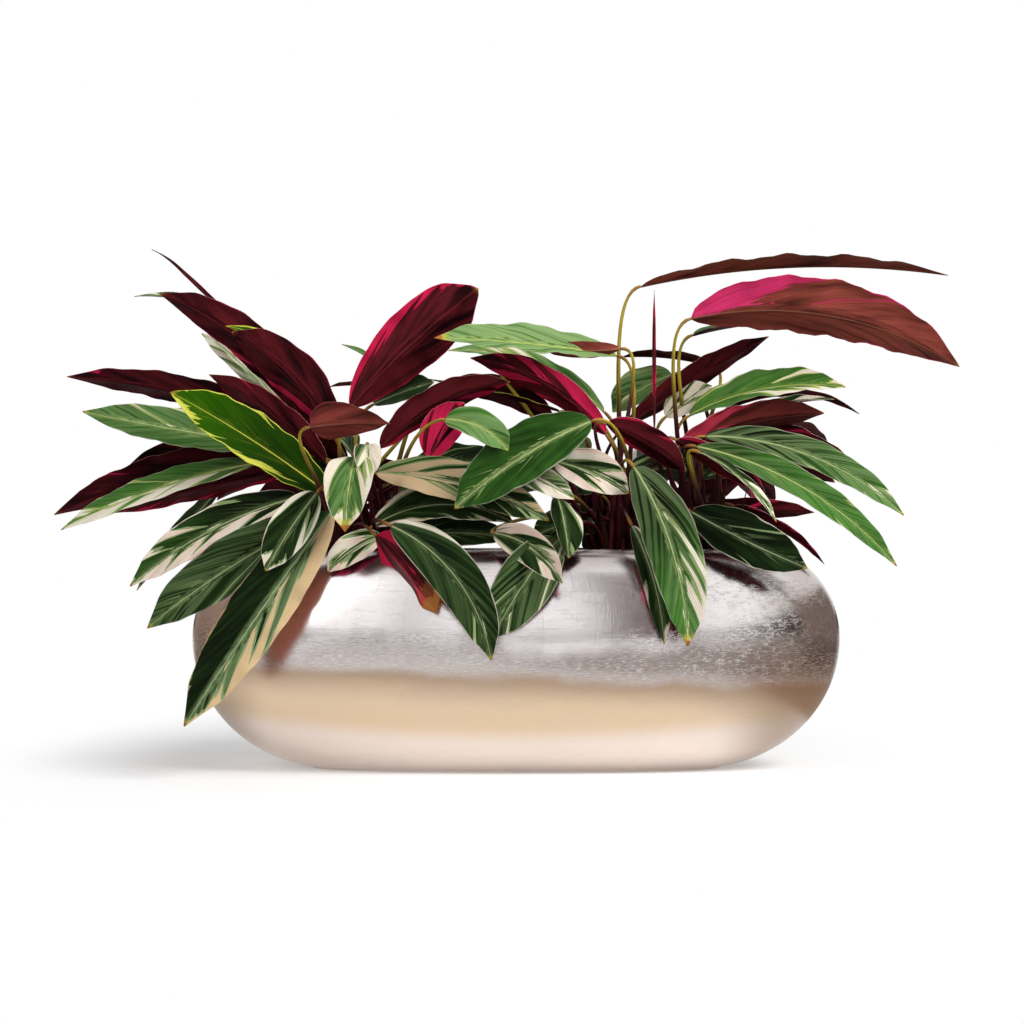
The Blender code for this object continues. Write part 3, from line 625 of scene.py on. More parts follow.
class Tree:
    """Adds and links the nodes of a new material or world. A socket takes a constant or a Value."""

    def __init__(self, name, kind="materials"):
        self.owner = getattr(bpy.data, kind).new(name)
        self.owner.use_nodes = True
        self.nodes = self.owner.node_tree.nodes
        self.links = self.owner.node_tree.links

    def put(self, socket, value):
        if isinstance(value, Value):
            self.links.new(value.socket, socket)
        else:
            socket.default_value = value

    def add(self, kind, inputs=(), **settings):
        node = self.nodes.new("ShaderNode" + kind)
        for key, value in settings.items():
            setattr(node, key, value)
        for key, value in dict(inputs).items():
            self.put(node.inputs[key], value)
        return node

    def out(self, node, key=0):
        return Value(self, node.outputs[key])

    def math(self, operation, a, b=0.0, clamp=False):
        return self.out(self.add("Math", {0: a, 1: b}, operation=operation, use_clamp=clamp))

    def stretch(self, vector, factors, shift=(0, 0, 0)):
        inputs = {0: vector, 1: factors, 2: shift}
        return self.out(self.add("VectorMath", inputs, operation="MULTIPLY_ADD"))

    def noise(self, vector, factors=None, shift=(0, 0, 0), scale=1.0, detail=2.0, roughness=0.5):
        if factors:
            vector = self.stretch(vector, factors, shift)
        inputs = {"Vector": vector, "Scale": scale, "Detail": detail, "Roughness": roughness}
        return self.out(self.add("TexNoise", inputs), "Fac")

    def step(self, value, low, high):
        """0 at or under low, 1 at or over high, smooth between."""
        inputs = {"Value": value, "From Min": low, "From Max": high}
        return self.out(self.add("MapRange", inputs, interpolation_type="SMOOTHSTEP"))

    def mix(self, share, a, b):
        return self.out(self.add("Mix", {0: share, 6: a, 7: b}, data_type="RGBA"), 2)

    def paint(self, coat, *layers):
        """The coat with each (share, colour) layer mixed over it in turn."""
        for share, colour in layers:
            coat = self.mix(share, coat, colour)
        return coat

    def mark(self, name):
        return self.out(self.add("Attribute", attribute_name=name), "Vector")

    def axes(self, vector):
        """The three parts of a vector, or of the mark with this name."""
        if isinstance(vector, str):
            vector = self.mark(vector)
        node = self.add("SeparateXYZ", {0: vector})
        return [self.out(node, axis) for axis in range(3)]

    def bump(self, height, strength, distance):
        node = self.add("Bump", {"Height": height, "Strength": strength, "Distance": distance})
        self.finish(Normal=self.out(node))

    def finish(self, **values):
        """Sets the main shader's sockets, with _ for each space in their names."""
        for key, value in values.items():
            self.put(self.nodes["Principled BSDF"].inputs[key.replace("_", " ")], value)
        return self.owner

    def blend(self, share, a, b):
        """Ends the tree in a mix of two shader nodes."""
        mix = self.add("MixShader", {0: share, 1: self.out(a), 2: self.out(b)})
        output = next(node for node in self.nodes if node.bl_idname.startswith("ShaderNodeOutput"))
        self.put(output.inputs["Surface"], self.out(mix))
        return self.owner


VEIN_PACE = 9.0                      # radians of the corrugation for each centimetre
PALE_BLUR = 0.008                    # softness of a pale sector's border
HALO_START, HALO_END = 0.062, 0.050  # the halo round it is this far below its limit
LEAF_SHEEN = 0.04


def pattern(tree):
    """Where a blade is pale: sectors and combs that follow its side veins."""
    vein = tree.mark("vein")
    _, reach, _ = tree.axes("blade")
    cream, edge, lean = tree.axes("share")
    side, early, _ = tree.axes("side")
    fade, _, _ = tree.axes("tip")
    sectors = tree.noise(vein, (0.26, 0.05, 1), detail=0)
    combs = tree.noise(vein, (0.80, 0.06, 1), (4, 0, 0), detail=1)
    level = sectors * 0.70 + combs * 0.30
    level += fade * early * 0.12 + edge * (reach - 0.55) * 0.22 + lean * side * 0.14
    limit = 0.74 - cream * 0.44
    pale = tree.step(level, limit - PALE_BLUR, limit + PALE_BLUR)
    halo = tree.step(level, limit - HALO_START, limit - HALO_END)
    return vein, pale, halo


def vein_relief(tree, vein, reach):
    """Height of the side veins' corrugation, with a fine grain over it."""
    wobble = tree.noise(vein, (0.5, 0.3, 1)) * 7
    along, _, _ = tree.axes(vein)
    waves = tree.math("SINE", along * VEIN_PACE + wobble)
    grain = tree.noise(vein, (9, 2, 1), detail=3)
    height = waves * (1 - reach ** 4) * 0.30 + grain * 0.5
    return waves, height


def withered(tree, share):
    """1 on the dry end of a blade, with a ragged border, and on the wider yellowed end."""
    _, burn, _ = tree.axes("tip")
    ragged = (tree.noise(tree.mark("vein"), scale=1.2) - 0.5) * burn
    dry = tree.step(share + burn + ragged, 0.995, 1.005)
    sere = tree.step(share + burn * 1.8 + ragged, 0.98, 1.02)
    return dry, sere


def upper_coat(colours):
    """The patterned upper side."""
    tree = Tree("leaf_upper_side")
    vein, pale, halo = pattern(tree)
    share, reach, across = tree.axes("blade")
    side, early, _ = tree.axes("side")
    _, _, lean = tree.axes("share")
    fade, _, _ = tree.axes("tip")
    blush, bright, warm = tree.axes("tint")
    silver, feather, rim = tree.axes("mood")
    waves, height = vein_relief(tree, vein, reach)

    # the green, darker in patches, with painted shade in the grooves between the side veins and towards
    # the collar of the brightest leaves
    patches = tree.noise(vein, (0.4, 0.4, 1), (9, 0, 0), detail=3)
    # painted shade towards the collar of the brightest leaves
    shaded = tree.step(early, -0.9, 0.3) * tree.step(bright, 0.8, 1.0)
    ribbed = waves * (bright * 0.24 + 0.05) + (patches - 0.40) * 1.4
    # painted shade in the grooves between the side veins, deeper on the brightest leaves, added to the
    # darker patches
    furrow_shade = tree.math("SUBTRACT", 0.30, ribbed, clamp=True) * 1.1
    green = tree.paint(
        tree.mix(tree.step(patches, 0.3, 0.7), colours.deep_green, colours.leaf_green),
        (tree.step(bright + fade * early * 0.3, 0.0, 0.45), colours.fresh_green),
        # the lime of the brightest leaves is partly their own green and partly a painted backlight glow
        (tree.step(bright, 0.45, 1.0), colours.lime),
        (shaded * 0.62, colours.deep_green),
        (tree.math("MINIMUM", furrow_shade, 0.8), colours.deep_green),
    )

    # the silver veil, and the strokes that run out from the midrib
    broad = tree.noise(vein, (0.8, 0.12, 1), (7, 0, 0))
    veil = silver * tree.step(broad + silver * 0.12, 0.41, 0.63)
    favour = tree.math("ADD", 1, lean * side * 0.8, clamp=True)
    along, _, _ = tree.axes(vein)
    uneven = tree.noise(vein, (0.55, 0.01, 1), (3, 3, 0), detail=1)
    groups = tree.step(tree.noise(vein, (0.16, 0.01, 1), (6, 1, 0), detail=0), 0.42, 0.60)
    short = (0.08 - reach + groups * 0.38 + broad * 0.20) * 1.4
    strokes = tree.math("SINE", along * 2.2 + uneven * 14) + short
    strokes = tree.step(strokes, 0.80, 1.45) * feather * favour
    glow = 1 - tree.step(across, 0.05, 0.65)
    strokes = tree.math("MAXIMUM", strokes, glow * feather * 0.5)
    light = tree.mix(bright, colours.pale_green, colours.lime_light)
    green = tree.paint(
        green,
        (veil * favour * 0.8, colours.silver_green),
        (strokes * 0.65, light),
        (halo * 0.75, light),
    )

    # the pale sectors
    clouds = tree.noise(vein, (0.35, 0.5, 1), (0, 7, 0))
    lines = tree.noise(vein, (2.6, 0.12, 1), (2, 0, 0))
    cream = tree.paint(
        colours.cream,
        (blush * tree.step(clouds, 0.25, 0.75), colours.blush_pink),
        (warm * 0.85, colours.peach),
        (tree.step(lines, 0.48, 0.70) * 0.22, colours.pale_green),
        (bright * tree.step(bright, 0.7, 0.9), colours.lime_light),
    )

    # sectors, margin, midrib and dry tip over the green
    wander = tree.noise(vein, (0.30, 0.05, 1), (0, 0, 6))
    hem = tree.step(reach + wander * 0.16, 1.03, 1.06)
    rib_width = 0.14 - share * 0.11
    rib = 1 - tree.step(across, rib_width * 0.5, rib_width)
    dry, sere = withered(tree, share)
    coat = tree.paint(
        green,
        (pale, cream),
        (hem * rim, cream),
        (rib * 0.85, tree.mix(bright, colours.midrib, colours.lime_light)),
        (sere * 0.5, colours.yellowed),
        (dry, colours.dry_tip),
    )
    tree.bump(height, 0.38, 0.0018)
    rough = tree.noise(vein, scale=1.5) * 0.2 + 0.30
    return tree.finish(Base_Color=coat, Roughness=rough, Specular_IOR_Level=LEAF_SHEEN)


def under_coat(colours):
    """The maroon underside, crimson wherever the upper side is pale."""
    tree = Tree("leaf_underside")
    vein, pale, halo = pattern(tree)
    share, reach, across = tree.axes("blade")
    blush, _, warm = tree.axes("tint")
    _, _, rim = tree.axes("mood")
    waves, height = vein_relief(tree, vein, reach)

    patches = tree.noise(vein, (0.35, 0.5, 1), (9, 0, 0), detail=3)
    blotches = tree.noise(vein, (0.13, 0.3, 1), (3, 6, 0), detail=1)
    lit = patches * 0.5 + blotches * 0.5
    wine = tree.paint(
        tree.mix(tree.step(lit, 0.36, 0.64), colours.dark_maroon, colours.maroon),
        (warm, tree.mix(tree.step(lit, 0.2, 0.7), colours.dark_maroon, colours.brown)),
        (tree.step(warm, 0.9, 1.0) * 0.7, colours.rib_brown),
        # painted shade in the grooves between the side veins
        ((waves + 1) * 0.06, colours.dark_maroon),
    )
    lines = tree.noise(vein, (4.0, 0.2, 1), (2, 0, 0))
    crimson = tree.paint(
        tree.mix(blush, colours.crimson, colours.hot_pink),
        (warm * (1 - blush) * 0.8, colours.rib_brown),
        (tree.step(lines, 0.45, 0.65) * 0.4, colours.dark_crimson),
    )

    ragged = tree.noise(vein, (0.12, 0.3, 1), detail=1)
    hem = tree.step(reach + ragged * 0.24, 1.08, 1.11)
    rib_width = 0.17 - share * 0.13
    rib = 1 - tree.step(across, rib_width * 0.6, rib_width)
    dry, sere = withered(tree, share)
    coat = tree.paint(
        wine,
        (halo * 0.22, colours.dark_crimson),
        (pale, crimson),
        (hem * rim, crimson),
        (rib * 0.6, tree.mix(warm, colours.rib_rose, colours.rib_brown)),
        (sere * 0.3, colours.dry_tip),
        (dry, colours.dry_tip),
    )
    tree.bump(height, 0.26, 0.0016)
    rough = tree.noise(vein, scale=1.5) * 0.2 + 0.34
    return tree.finish(Base_Color=coat, Roughness=rough, Specular_IOR_Level=LEAF_SHEEN)


def stalk_coat(colours):
    """Stalks run from maroon at the foot through olive to tan at the collar; the maroon low down is
    partly their own colour, partly painted shade under the leaves.
    """
    tree = Tree("leaf_stalk")
    vein = tree.mark("vein")
    along, _, _ = tree.axes(vein)
    share, _, _ = tree.axes("blade")
    streaks = tree.noise(vein, (0.3, 9, 1), detail=3)
    mood = tree.noise(vein, (0.02, 0, 1), (0, 3, 5), detail=0)
    coat = tree.paint(
        colours.stalk_maroon,
        (tree.step(along + (mood - 0.5) * 24, 11, 20), colours.stalk_olive),
        (tree.step(share, 0.80, 0.97) * 0.8, colours.stalk_tan),
        (tree.step(streaks, 0.45, 0.65) * 0.45, colours.stalk_dark),
    )
    tree.bump(streaks, 0.3, 0.0006)
    return tree.finish(Base_Color=coat, Roughness=0.42, Specular_IOR_Level=0.15)


def leaf_coats(colours):
    """The three materials that all leaves share, made once."""
    makers = {"leaf_upper_side": upper_coat, "leaf_underside": under_coat, "leaf_stalk": stalk_coat}
    return [bpy.data.materials.get(name) or make(colours) for name, make in makers.items()]


# ---------------------------------------------------------------- settings
def tint(name, description, *screen_values):
    return FloatVectorProperty(
        name=name, description=description, subtype="COLOR", size=4, min=0, max=1,
        default=srgb(*screen_values),
    )


def number(name, description, default, low=0.0, **more):
    return FloatProperty(name=name, description=description, default=default, min=low, **more)


def metres(name, description, default, low=0.0):
    return number(name, description, default, low, unit="LENGTH")


class StromantheLeafSettings(bpy.types.PropertyGroup):
    """Shape and colours that all leaves share."""

    bow: number(
        "Bow", "How much each half of a blade arches between midrib and margin",
        0.6, max=2, subtype="FACTOR",
    )
    ripple_depth: number(
        "Ripple depth", "Height of the margin's waves, as a share of the half width",
        0.07, max=0.5, subtype="FACTOR",
    )
    ripple_length: metres("Ripple length", "Length of one wave of the margin", 0.065, 0.01)
    knee: number(
        "Knee", "How much the stalk swells where it turns into the blade",
        0.35, max=1, subtype="FACTOR",
    )
    # Also painted shade in the grooves between the side veins and towards the collar of the brightest
    # leaves
    deep_green: tint("Deep green", "Darkest green of the upper side", 9, 16, 6)
    leaf_green: tint("Leaf green", "Usual green of the upper side", 27, 45, 18)
    fresh_green: tint("Fresh green", "Green of the younger leaves", 68, 122, 44)
    # Partly the brightest leaves' own green, partly a painted backlight glow through them
    lime: tint("Lime", "Green of the brightest leaves", 50, 100, 1)
    lime_light: tint("Light lime", "Streaks and margin of the brightest leaves", 214, 214, 84)
    pale_green: tint("Pale green", "Feathered strokes by the midrib", 152, 174, 124)
    silver_green: tint("Silver green", "Grey-green veil on some leaves", 154, 184, 122)
    midrib: tint("Midrib", "Midrib of the upper side", 172, 190, 142)
    yellowed: tint("Yellowed", "Round a withered tip", 216, 196, 60)
    cream: tint("Cream", "Pale sectors", 240, 236, 214)
    blush_pink: tint("Blush pink", "Pink in the pale sectors", 236, 190, 180)
    peach: tint("Peach", "Warm pale sectors", 222, 184, 130)
    dry_tip: tint("Dry tip", "Withered tip", 176, 112, 52)
    # Also painted shade in the grooves and on the shaded side of the lit blotches
    dark_maroon: tint("Dark maroon", "Darkest of the underside", 28, 5, 10)
    maroon: tint("Maroon", "Usual colour of the underside", 102, 30, 36)
    brown: tint("Brown maroon", "Underside of older leaves", 196, 98, 82)
    dark_crimson: tint("Dark crimson", "Shaded crimson of the underside", 140, 12, 44)
    crimson: tint("Crimson", "Pale sectors seen from below", 206, 24, 62)
    hot_pink: tint("Hot pink", "Pale sectors of the youngest leaves", 240, 62, 122)
    rib_rose: tint("Rose rib", "Midrib of the underside", 122, 44, 52)
    rib_brown: tint("Brown rib", "Midrib of older leaves' underside", 206, 146, 112)
    # Partly the stalks' own colour, partly painted shade low down under the leaves
    stalk_maroon: tint("Stalk maroon", "Foot of the stalks", 70, 16, 26)
    stalk_olive: tint("Stalk olive", "Middle of the stalks", 198, 176, 62)
    stalk_tan: tint("Stalk tan", "Collar of the stalks", 170, 116, 66)
    stalk_dark: tint("Stalk dark", "Streaks along the stalks", 58, 34, 26)


class STROMANTHE_OT_grow_clump(bpy.types.Operator):
    """Grow every leaf of one clump that has a solid in the frame"""

    bl_idname = "stromanthe.grow_clump"
    bl_label = "Grow a clump"

    clump: EnumProperty(
        name="Clump", description="Which clump to grow",
        items=[(name, name.capitalize(), f"The {name} clump") for name in CLUMPS],
    )

    def execute(self, context):
        settings = context.scene.stromanthe_leaves
        coats = leaf_coats(settings)
        leaves = [leaf for leaf in LEAVES if leaf.name.startswith(self.clump)]
        feet = seats(leaves, CLUMPS[self.clump])
        for leaf in leaves:
            node = "leaf_" + leaf.name
            piece = grow_leaf("grown_" + leaf.name, leaf, feet[leaf.name], coats, settings)
            check_reach(piece, node)
            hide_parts(node)
        return {"FINISHED"}


class STROMANTHE_OT_grow_strays(bpy.types.Operator):
    """Grow the small and half-hidden leaves between the others"""

    bl_idname = "stromanthe.grow_strays"
    bl_label = "Grow the small leaves"

    def execute(self, context):
        settings = context.scene.stromanthe_leaves
        coats = leaf_coats(settings)
        for number, leaf in enumerate(STRAYS):
            clump = CLUMPS[leaf.name.split("_")[0]]
            turn = number * STRAY_TURN
            x = clump.centre[0] + STRAY_RING[0] * math.cos(turn)
            y = clump.centre[1] + STRAY_RING[1] * math.sin(turn)
            foot = np.array((x * CM, y * CM, SOIL_TOP))
            grow_leaf("grown_" + leaf.name, leaf, foot, coats, settings)
        return {"FINISHED"}


# ---------------------------------------------------------------- sheaths round the stems
SHEATH_ROWS, SHEATH_COLUMNS = 12, 9
SHEATH_WALL = 0.0009
SHEATH_SINK = 0.004
SHEATH_LEAN = (0.0096, 0.0264)   # how far its tip stands out from its foot
SHEATH_SPAN = (3.0, 4.6)     # how far round its stem it reaches, in radians
SHEATH_HEIGHTS, SHEATH_RADII = (0.6, 1.1), (0.8, 1.2)
GOLDEN_TURN = 2.39996        # radians from one sheath to the next, which spreads them evenly


def sheath_part(centre, lean_out, height, radius, span, seed):
    """A pointed half tube that wraps a stem's base, as a closed crescent loft."""
    share = np.linspace(0, 1, SHEATH_ROWS)
    # it keeps its span most of the way up, then closes to a point
    narrow = np.maximum(0.04, (1 - share ** 2.2)) ** 0.8
    arc = np.linspace(-span / 2, span / 2, SHEATH_COLUMNS)
    heading = math.atan2(lean_out[1], lean_out[0])
    spine = np.array(centre)[None, :] + np.outer(share * height, (0, 0, 1))
    spine[:, :2] += np.outer(share ** 1.6, lean_out)
    sheets = []
    for shell in (radius, radius - SHEATH_WALL):
        angle = heading + arc[None, :] * narrow[:, None]
        size = shell * (1 - 0.45 * share)[:, None]
        ring = xyz(np.cos(angle) * size, np.sin(angle) * size, 0)
        sheets.append((spine[:, None, :] + ring).reshape(-1, 3))
    top, rim, under = sheet_faces(SHEATH_ROWS, SHEATH_COLUMNS)
    u = np.tile(np.repeat(share, SHEATH_COLUMNS), 2)
    around = np.tile(arc, 2 * SHEATH_ROWS)
    marks = {
        "vein": xyz(u * height / CM, around * 0.6, seed * SEED_STEP),
        "blade": xyz(u, np.abs(around) / span * 2, around),
        "side": np.zeros((len(u), 3)),
    }
    faces = top + rim + under
    return np.concatenate(sheets), faces, [0] * len(faces), marks


def sheath_coat(colours):
    """Papery sheaths: maroon and olive low down, brown and dry at the tips, their colours darkened by
    painted shade under the leaves.
    """
    tree = Tree("leaf_sheath")
    vein = tree.mark("vein")
    share, _, _ = tree.axes("blade")
    fibres = tree.noise(vein, (0.25, 8, 1), detail=4)
    mood = tree.noise(vein, (0.03, 0, 1), (0, 3, 5), detail=0)
    coat = tree.paint(
        colours.sheath_maroon,
        (tree.step(mood, 0.40, 0.60), colours.sheath_olive),
        (tree.step(share, 0.35, 0.9), colours.sheath_brown),
        (tree.step(fibres, 0.42, 0.62) * 0.6, colours.sheath_dark),
    )
    tree.bump(fibres, 0.4, 0.0006)
    return tree.finish(Base_Color=coat, Roughness=0.6, Specular_IOR_Level=0.05)


class STROMANTHE_OT_wrap_stems(bpy.types.Operator):
    """Wrap the foot of each clump in the sheaths that its leaves grew from"""

    bl_idname = "stromanthe.wrap_stems"
    bl_label = "Wrap the stems"

    def execute(self, context):
        settings = context.scene.stromanthe_sheaths
        coat = sheath_coat(settings)
        for name, clump in CLUMPS.items():
            rng = random.Random("sheaths " + name)
            parts = []
            for number in range(settings.count):
                turn = number * GOLDEN_TURN
                spread = settings.spread * math.sqrt((number + 0.5) / settings.count)
                x = clump.centre[0] * CM + spread * math.cos(turn)
                y = clump.centre[1] * CM + spread * 1.15 * math.sin(turn)
                lean = rng.uniform(*SHEATH_LEAN)
                parts.append(sheath_part(
                    (x, y, SOIL_TOP - SHEATH_SINK),
                    (math.cos(turn) * lean, math.sin(turn) * lean),
                    settings.height * rng.uniform(*SHEATH_HEIGHTS),
                    settings.radius * rng.uniform(*SHEATH_RADII),
                    rng.uniform(*SHEATH_SPAN),
                    rng.uniform(1, SEED_LIMIT),
                ))
            piece = join_parts("sheaths_" + name, parts, [coat], FOREST)
            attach(piece, "root")
        return {"FINISHED"}


class StromantheSheathSettings(bpy.types.PropertyGroup):
    """The sheaths at the foot of each clump."""

    count: IntProperty(name="Count", description="Sheaths in each clump", default=15, min=1)
    height: metres("Height", "Usual height of a sheath", 0.125, 0.01)
    radius: metres("Radius", "How wide a sheath is rolled", 0.0075, 0.002)
    spread: metres("Spread", "How far from the middle of the clump the outermost stands", 0.043)
    # These three are the sheaths' own colours darkened by painted shade under the leaves
    sheath_maroon: tint("Sheath maroon", "Foot of the redder sheaths", 58, 12, 20)
    sheath_olive: tint("Sheath olive", "Foot of the greener sheaths", 54, 42, 24)
    sheath_brown: tint("Sheath brown", "Dry upper part", 52, 28, 20)
    sheath_dark: tint("Sheath dark", "Fibres", 20, 10, 8)


# ---------------------------------------------------------------- planter
PLAN_FULLNESS = 2.5
PLAN_POINTS = 224
LOWER_RINGS = 30
UPPER_RINGS = 24
LIP_RINGS = 6
LIP_RADIUS = 0.0018
FOOT_HEIGHT = 0.0025
FOOT_STEP = 0.006            # how far the flat foot keeps inside the lower curve
FOOT_LEDGE = 0.0008
RIM_TURN = math.radians(82)  # how far round the upper curve gets before the rim
SHARP_FROM = math.radians(60)

# Heights over which one tone of the metal gives way to the next: painted reflection of the floor, pale
# at the foot, then deeper, then tan under the widest part; the silver above; the top of the dark stripe
# of painted reflection round the widest part; painted shade near the rim.
FOOT_UP_TO = (0.034, 0.062)
TAN_FROM = (0.078, 0.128)
UPPER_FROM = (0.112, 0.136)
BAND_UP_TO = (0.134, 0.168)
NECK_FROM = (0.240, 0.272)


def outer_profile(settings):
    """Rows of half length, half depth and height, from the foot's edge up to the rim."""
    size = PLANTER_BOX[1] - PLANTER_BOX[0]
    half_length, half_depth, widest = size.x / 2, size.y / 2, settings.widest_height
    start = math.asin(1 - FOOT_HEIGHT / widest)
    low = start * (1 - np.arange(LOWER_RINGS) / LOWER_RINGS)
    drawn = 1 - np.cos(low)
    lower = xyz(
        half_length - settings.foot_inset_length * drawn,
        half_depth - settings.foot_inset_depth * drawn,
        widest * (1 - np.sin(low)),
    )
    high = np.linspace(0, RIM_TURN, UPPER_RINGS + 1)
    drawn = (1 - np.cos(high)) / (1 - math.cos(RIM_TURN))
    upper = xyz(
        half_length - (half_length - settings.mouth_length / 2) * drawn,
        half_depth - (half_depth - settings.mouth_depth / 2) * drawn,
        widest + (size.z - widest) * np.sin(high) / math.sin(RIM_TURN),
    )
    return np.vstack((lower, upper))


def inner_profile(outer, wall):
    """The outer profile moved inwards, square to itself, by the wall."""
    slope = np.gradient(outer, axis=0)
    inward = np.hypot(slope[:, 0], slope[:, 2])
    normal_out, normal_up = slope[:, 2] / inward, -slope[:, 0] / inward
    inner = outer - wall * xyz(normal_out, normal_out, normal_up)
    return inner[inner[:, 2] > wall]


def oval(half_length, half_depth):
    """Plan of a full oval (a superellipse), starting at the back so that any seam is there."""
    angle = np.linspace(0, 2 * math.pi, PLAN_POINTS, endpoint=False) + math.pi / 2
    c, s = np.cos(angle), np.sin(angle)
    power = 2 / PLAN_FULLNESS
    return half_length * np.sign(c) * np.abs(c) ** power, half_depth * np.sign(s) * np.abs(s) ** power


def rings_mesh(name, profile, material, wavy=None):
    """A closed body from rings of the oval plan, capped at both ends, with a wrap in metres."""
    rings = [xyz(*oval(half_length, half_depth), height) for half_length, half_depth, height in profile]
    points = np.concatenate(rings)
    if wavy:
        points = wavy(points)
    mesh = make_mesh(name, points, ring_faces(len(profile), PLAN_POINTS), material)
    wide = np.stack(oval(profile[:, 0].max(), profile[:, 1].max()), axis=-1)
    steps = np.linalg.norm(np.roll(wide, -1, axis=0) - wide, axis=1)
    around = np.concatenate(([0], np.cumsum(steps)))
    up = np.concatenate(([0], np.cumsum(np.hypot(*np.diff(profile[:, [0, 2]], axis=0).T))))
    wrap = []
    for i in range(len(profile) - 1):
        for j in range(PLAN_POINTS):
            corners = ((i, j), (i, j + 1), (i + 1, j + 1), (i + 1, j))
            wrap.extend((around[b], up[a]) for a, b in corners)
    for ring in (rings[0][::-1], rings[-1]):
        wrap.extend((x, y) for x, y, _ in ring)
    layer = mesh.uv_layers.new(name="wrap")
    layer.data.foreach_set("uv", np.array(wrap, np.float32).ravel())
    mesh.shade_smooth()
    mesh.set_sharp_from_angle(angle=SHARP_FROM)
    return place_object(name, mesh)


def silver_leaf_coat(colours):
    """Squares of metal leaf: joints, tone from square to square, creases and fine scratches, with
    painted reflections, painted shade and painted highlights over them.
    """
    tree = Tree("silver_leaf")
    wrap = tree.out(tree.add("UVMap", uv_map="wrap"))
    place = tree.out(tree.add("TexCoord"), "Object")
    length, _, height = tree.axes(place)
    clouds = tree.noise(place, (7, 7, 20), detail=5, roughness=0.6)
    streak = tree.noise(wrap, (40, 190, 1), detail=5, roughness=0.7)

    # the squares, whose joints wander a little
    drift = tree.out(tree.add("TexNoise", {"Vector": wrap, "Scale": 14.0, "Detail": 3.0}), "Color")
    wobbly = tree.stretch(drift, (0.008, 0.008, 0), wrap)
    squares = tree.add("TexBrick", {
        "Vector": wobbly, "Scale": 1.0, "Mortar Size": 0.0006, "Mortar Smooth": 1.0,
        "Brick Width": colours.square, "Row Height": colours.square * 0.93,
        "Color1": (0, 0, 0, 1), "Color2": (1, 1, 1, 1), "Mortar": (0.5, 0.5, 0.5, 1), "Bias": 0.0,
    })
    tone, joint = tree.out(squares, "Color"), tree.out(squares, "Fac")

    # silver above, below it a painted reflection of the floor, and between them a dark stripe of
    # painted reflection round the widest part
    edge = height + (clouds - 0.5) * 0.030 + length * 0.045
    upper = tree.step(edge, *UPPER_FROM)
    below = 1 - upper
    ragged = tree.noise(wrap, (8, 3, 1), (7, 0, 0), detail=3)
    brim = edge + (ragged - 0.5) * 0.12 - tree.step(length, 0.08, 0.28) * 0.026
    # a dark stripe of painted reflection of the horizon round the widest part
    band = upper * (1 - tree.step(brim, *BAND_UP_TO))
    bent = height - length * length * 0.18
    # painted reflection of the floor: pale just above it, then deeper, then tan under the widest part
    lower = tree.paint(
        colours.foot_tone,
        (tree.step(bent, *FOOT_UP_TO), colours.champagne),
        (tree.step(edge, *TAN_FROM), colours.tan),
    )
    # how dark the painted stripe is, darker towards the right
    band_shade_depth = tree.step(length, -0.08, 0.12) * 0.30 + tree.step(length, 0.20, 0.32) * 0.14 + 0.56
    # painted shade near the rim, under the leaves
    shaded = tree.step(height + clouds * 0.02, *NECK_FROM)
    # painted shade low down at both ends
    ends = tree.step(abs(length + 0.03), 0.262, 0.352)
    # painted shade on the upper part of the right end
    far_end_shade = tree.step(length + clouds * 0.10, 0.31, 0.41) * upper
    # painted reflection on the upper part of the left end
    near_end_reflection = tree.step(length * -1, 0.27, 0.37) * upper
    # soft blots of painted reflection in the upper half
    reflection_blots = tree.noise(place, (9, 9, 7), (2, 4, 0))
    metal = tree.paint(
        lower,
        (upper, colours.silver),
        (band * band_shade_depth, colours.band),
        (shaded * 0.55, colours.band),
        (ends * below * 0.75, colours.tan),
        (tree.step(clouds, 0.35, 0.75) * 0.14, colours.blush),
        (tone * (upper * 0.06 + 0.03), colours.worn),
        (far_end_shade * 0.55, colours.worn),
        (near_end_reflection * 0.75, colours.tan),
        (tree.step(reflection_blots, 0.50, 0.68) * upper * 0.14, colours.worn),
        (tree.step(streak, 0.50, 0.72) * (upper * 0.16 + 0.05), colours.worn),
        (joint * (upper * 0.16 + 0.05), colours.worn),
    )

    # creases and dented spots in the upper half, more of them to the right, and brush marks, with a
    # painted highlight on the crests and along the brush marks and painted shade in the dented spots
    folds = tree.noise(wrap, (92, 190, 1), detail=3, roughness=0.6)
    breaks = tree.step(tree.noise(wrap, (60, 90, 1), (5, 2, 0)), 0.40, 0.60)
    patches = tree.step(tree.noise(wrap, (9, 16, 1), (3, 1, 0), detail=4), 0.40, 0.54)
    crumpled = patches * upper * (tree.step(length, 0.08, 0.24) * 0.9 + 0.1)
    crease = (1 - tree.step(abs(folds - 0.5), 0.0, 0.040)) * breaks * crumpled
    dent_shade = tree.step(folds, 0.52, 0.60) * crumpled
    combed = tree.noise(wrap, (110, 800, 1), (1, 8, 0), detail=4, roughness=0.65)
    brushed = tree.step(combed, 0.46, 0.62) * (band * 0.85 + 0.05) * (tone * 0.8 + 0.35)
    metal = tree.paint(
        metal,
        (crease * 0.60, colours.crease),
        (dent_shade * 0.28, colours.band),
        (brushed * 0.50, colours.crease),
    )

    hatch = tree.noise(wrap, (420, 60, 1), detail=3, roughness=0.6)
    weave = tree.noise(wrap, (700, 700, 1))
    relief = crease * 0.45 + brushed * 0.55 + weave * 0.05 + joint * 0.06
    relief += streak * (upper * 0.35 + 0.06) + hatch * (upper * 0.14 + 0.05)
    tree.bump(relief, 0.24, 0.0010)
    rough = below * 0.10 + streak * 0.12 + 0.14
    return tree.finish(Base_Color=metal, Metallic=1.0, Roughness=rough)


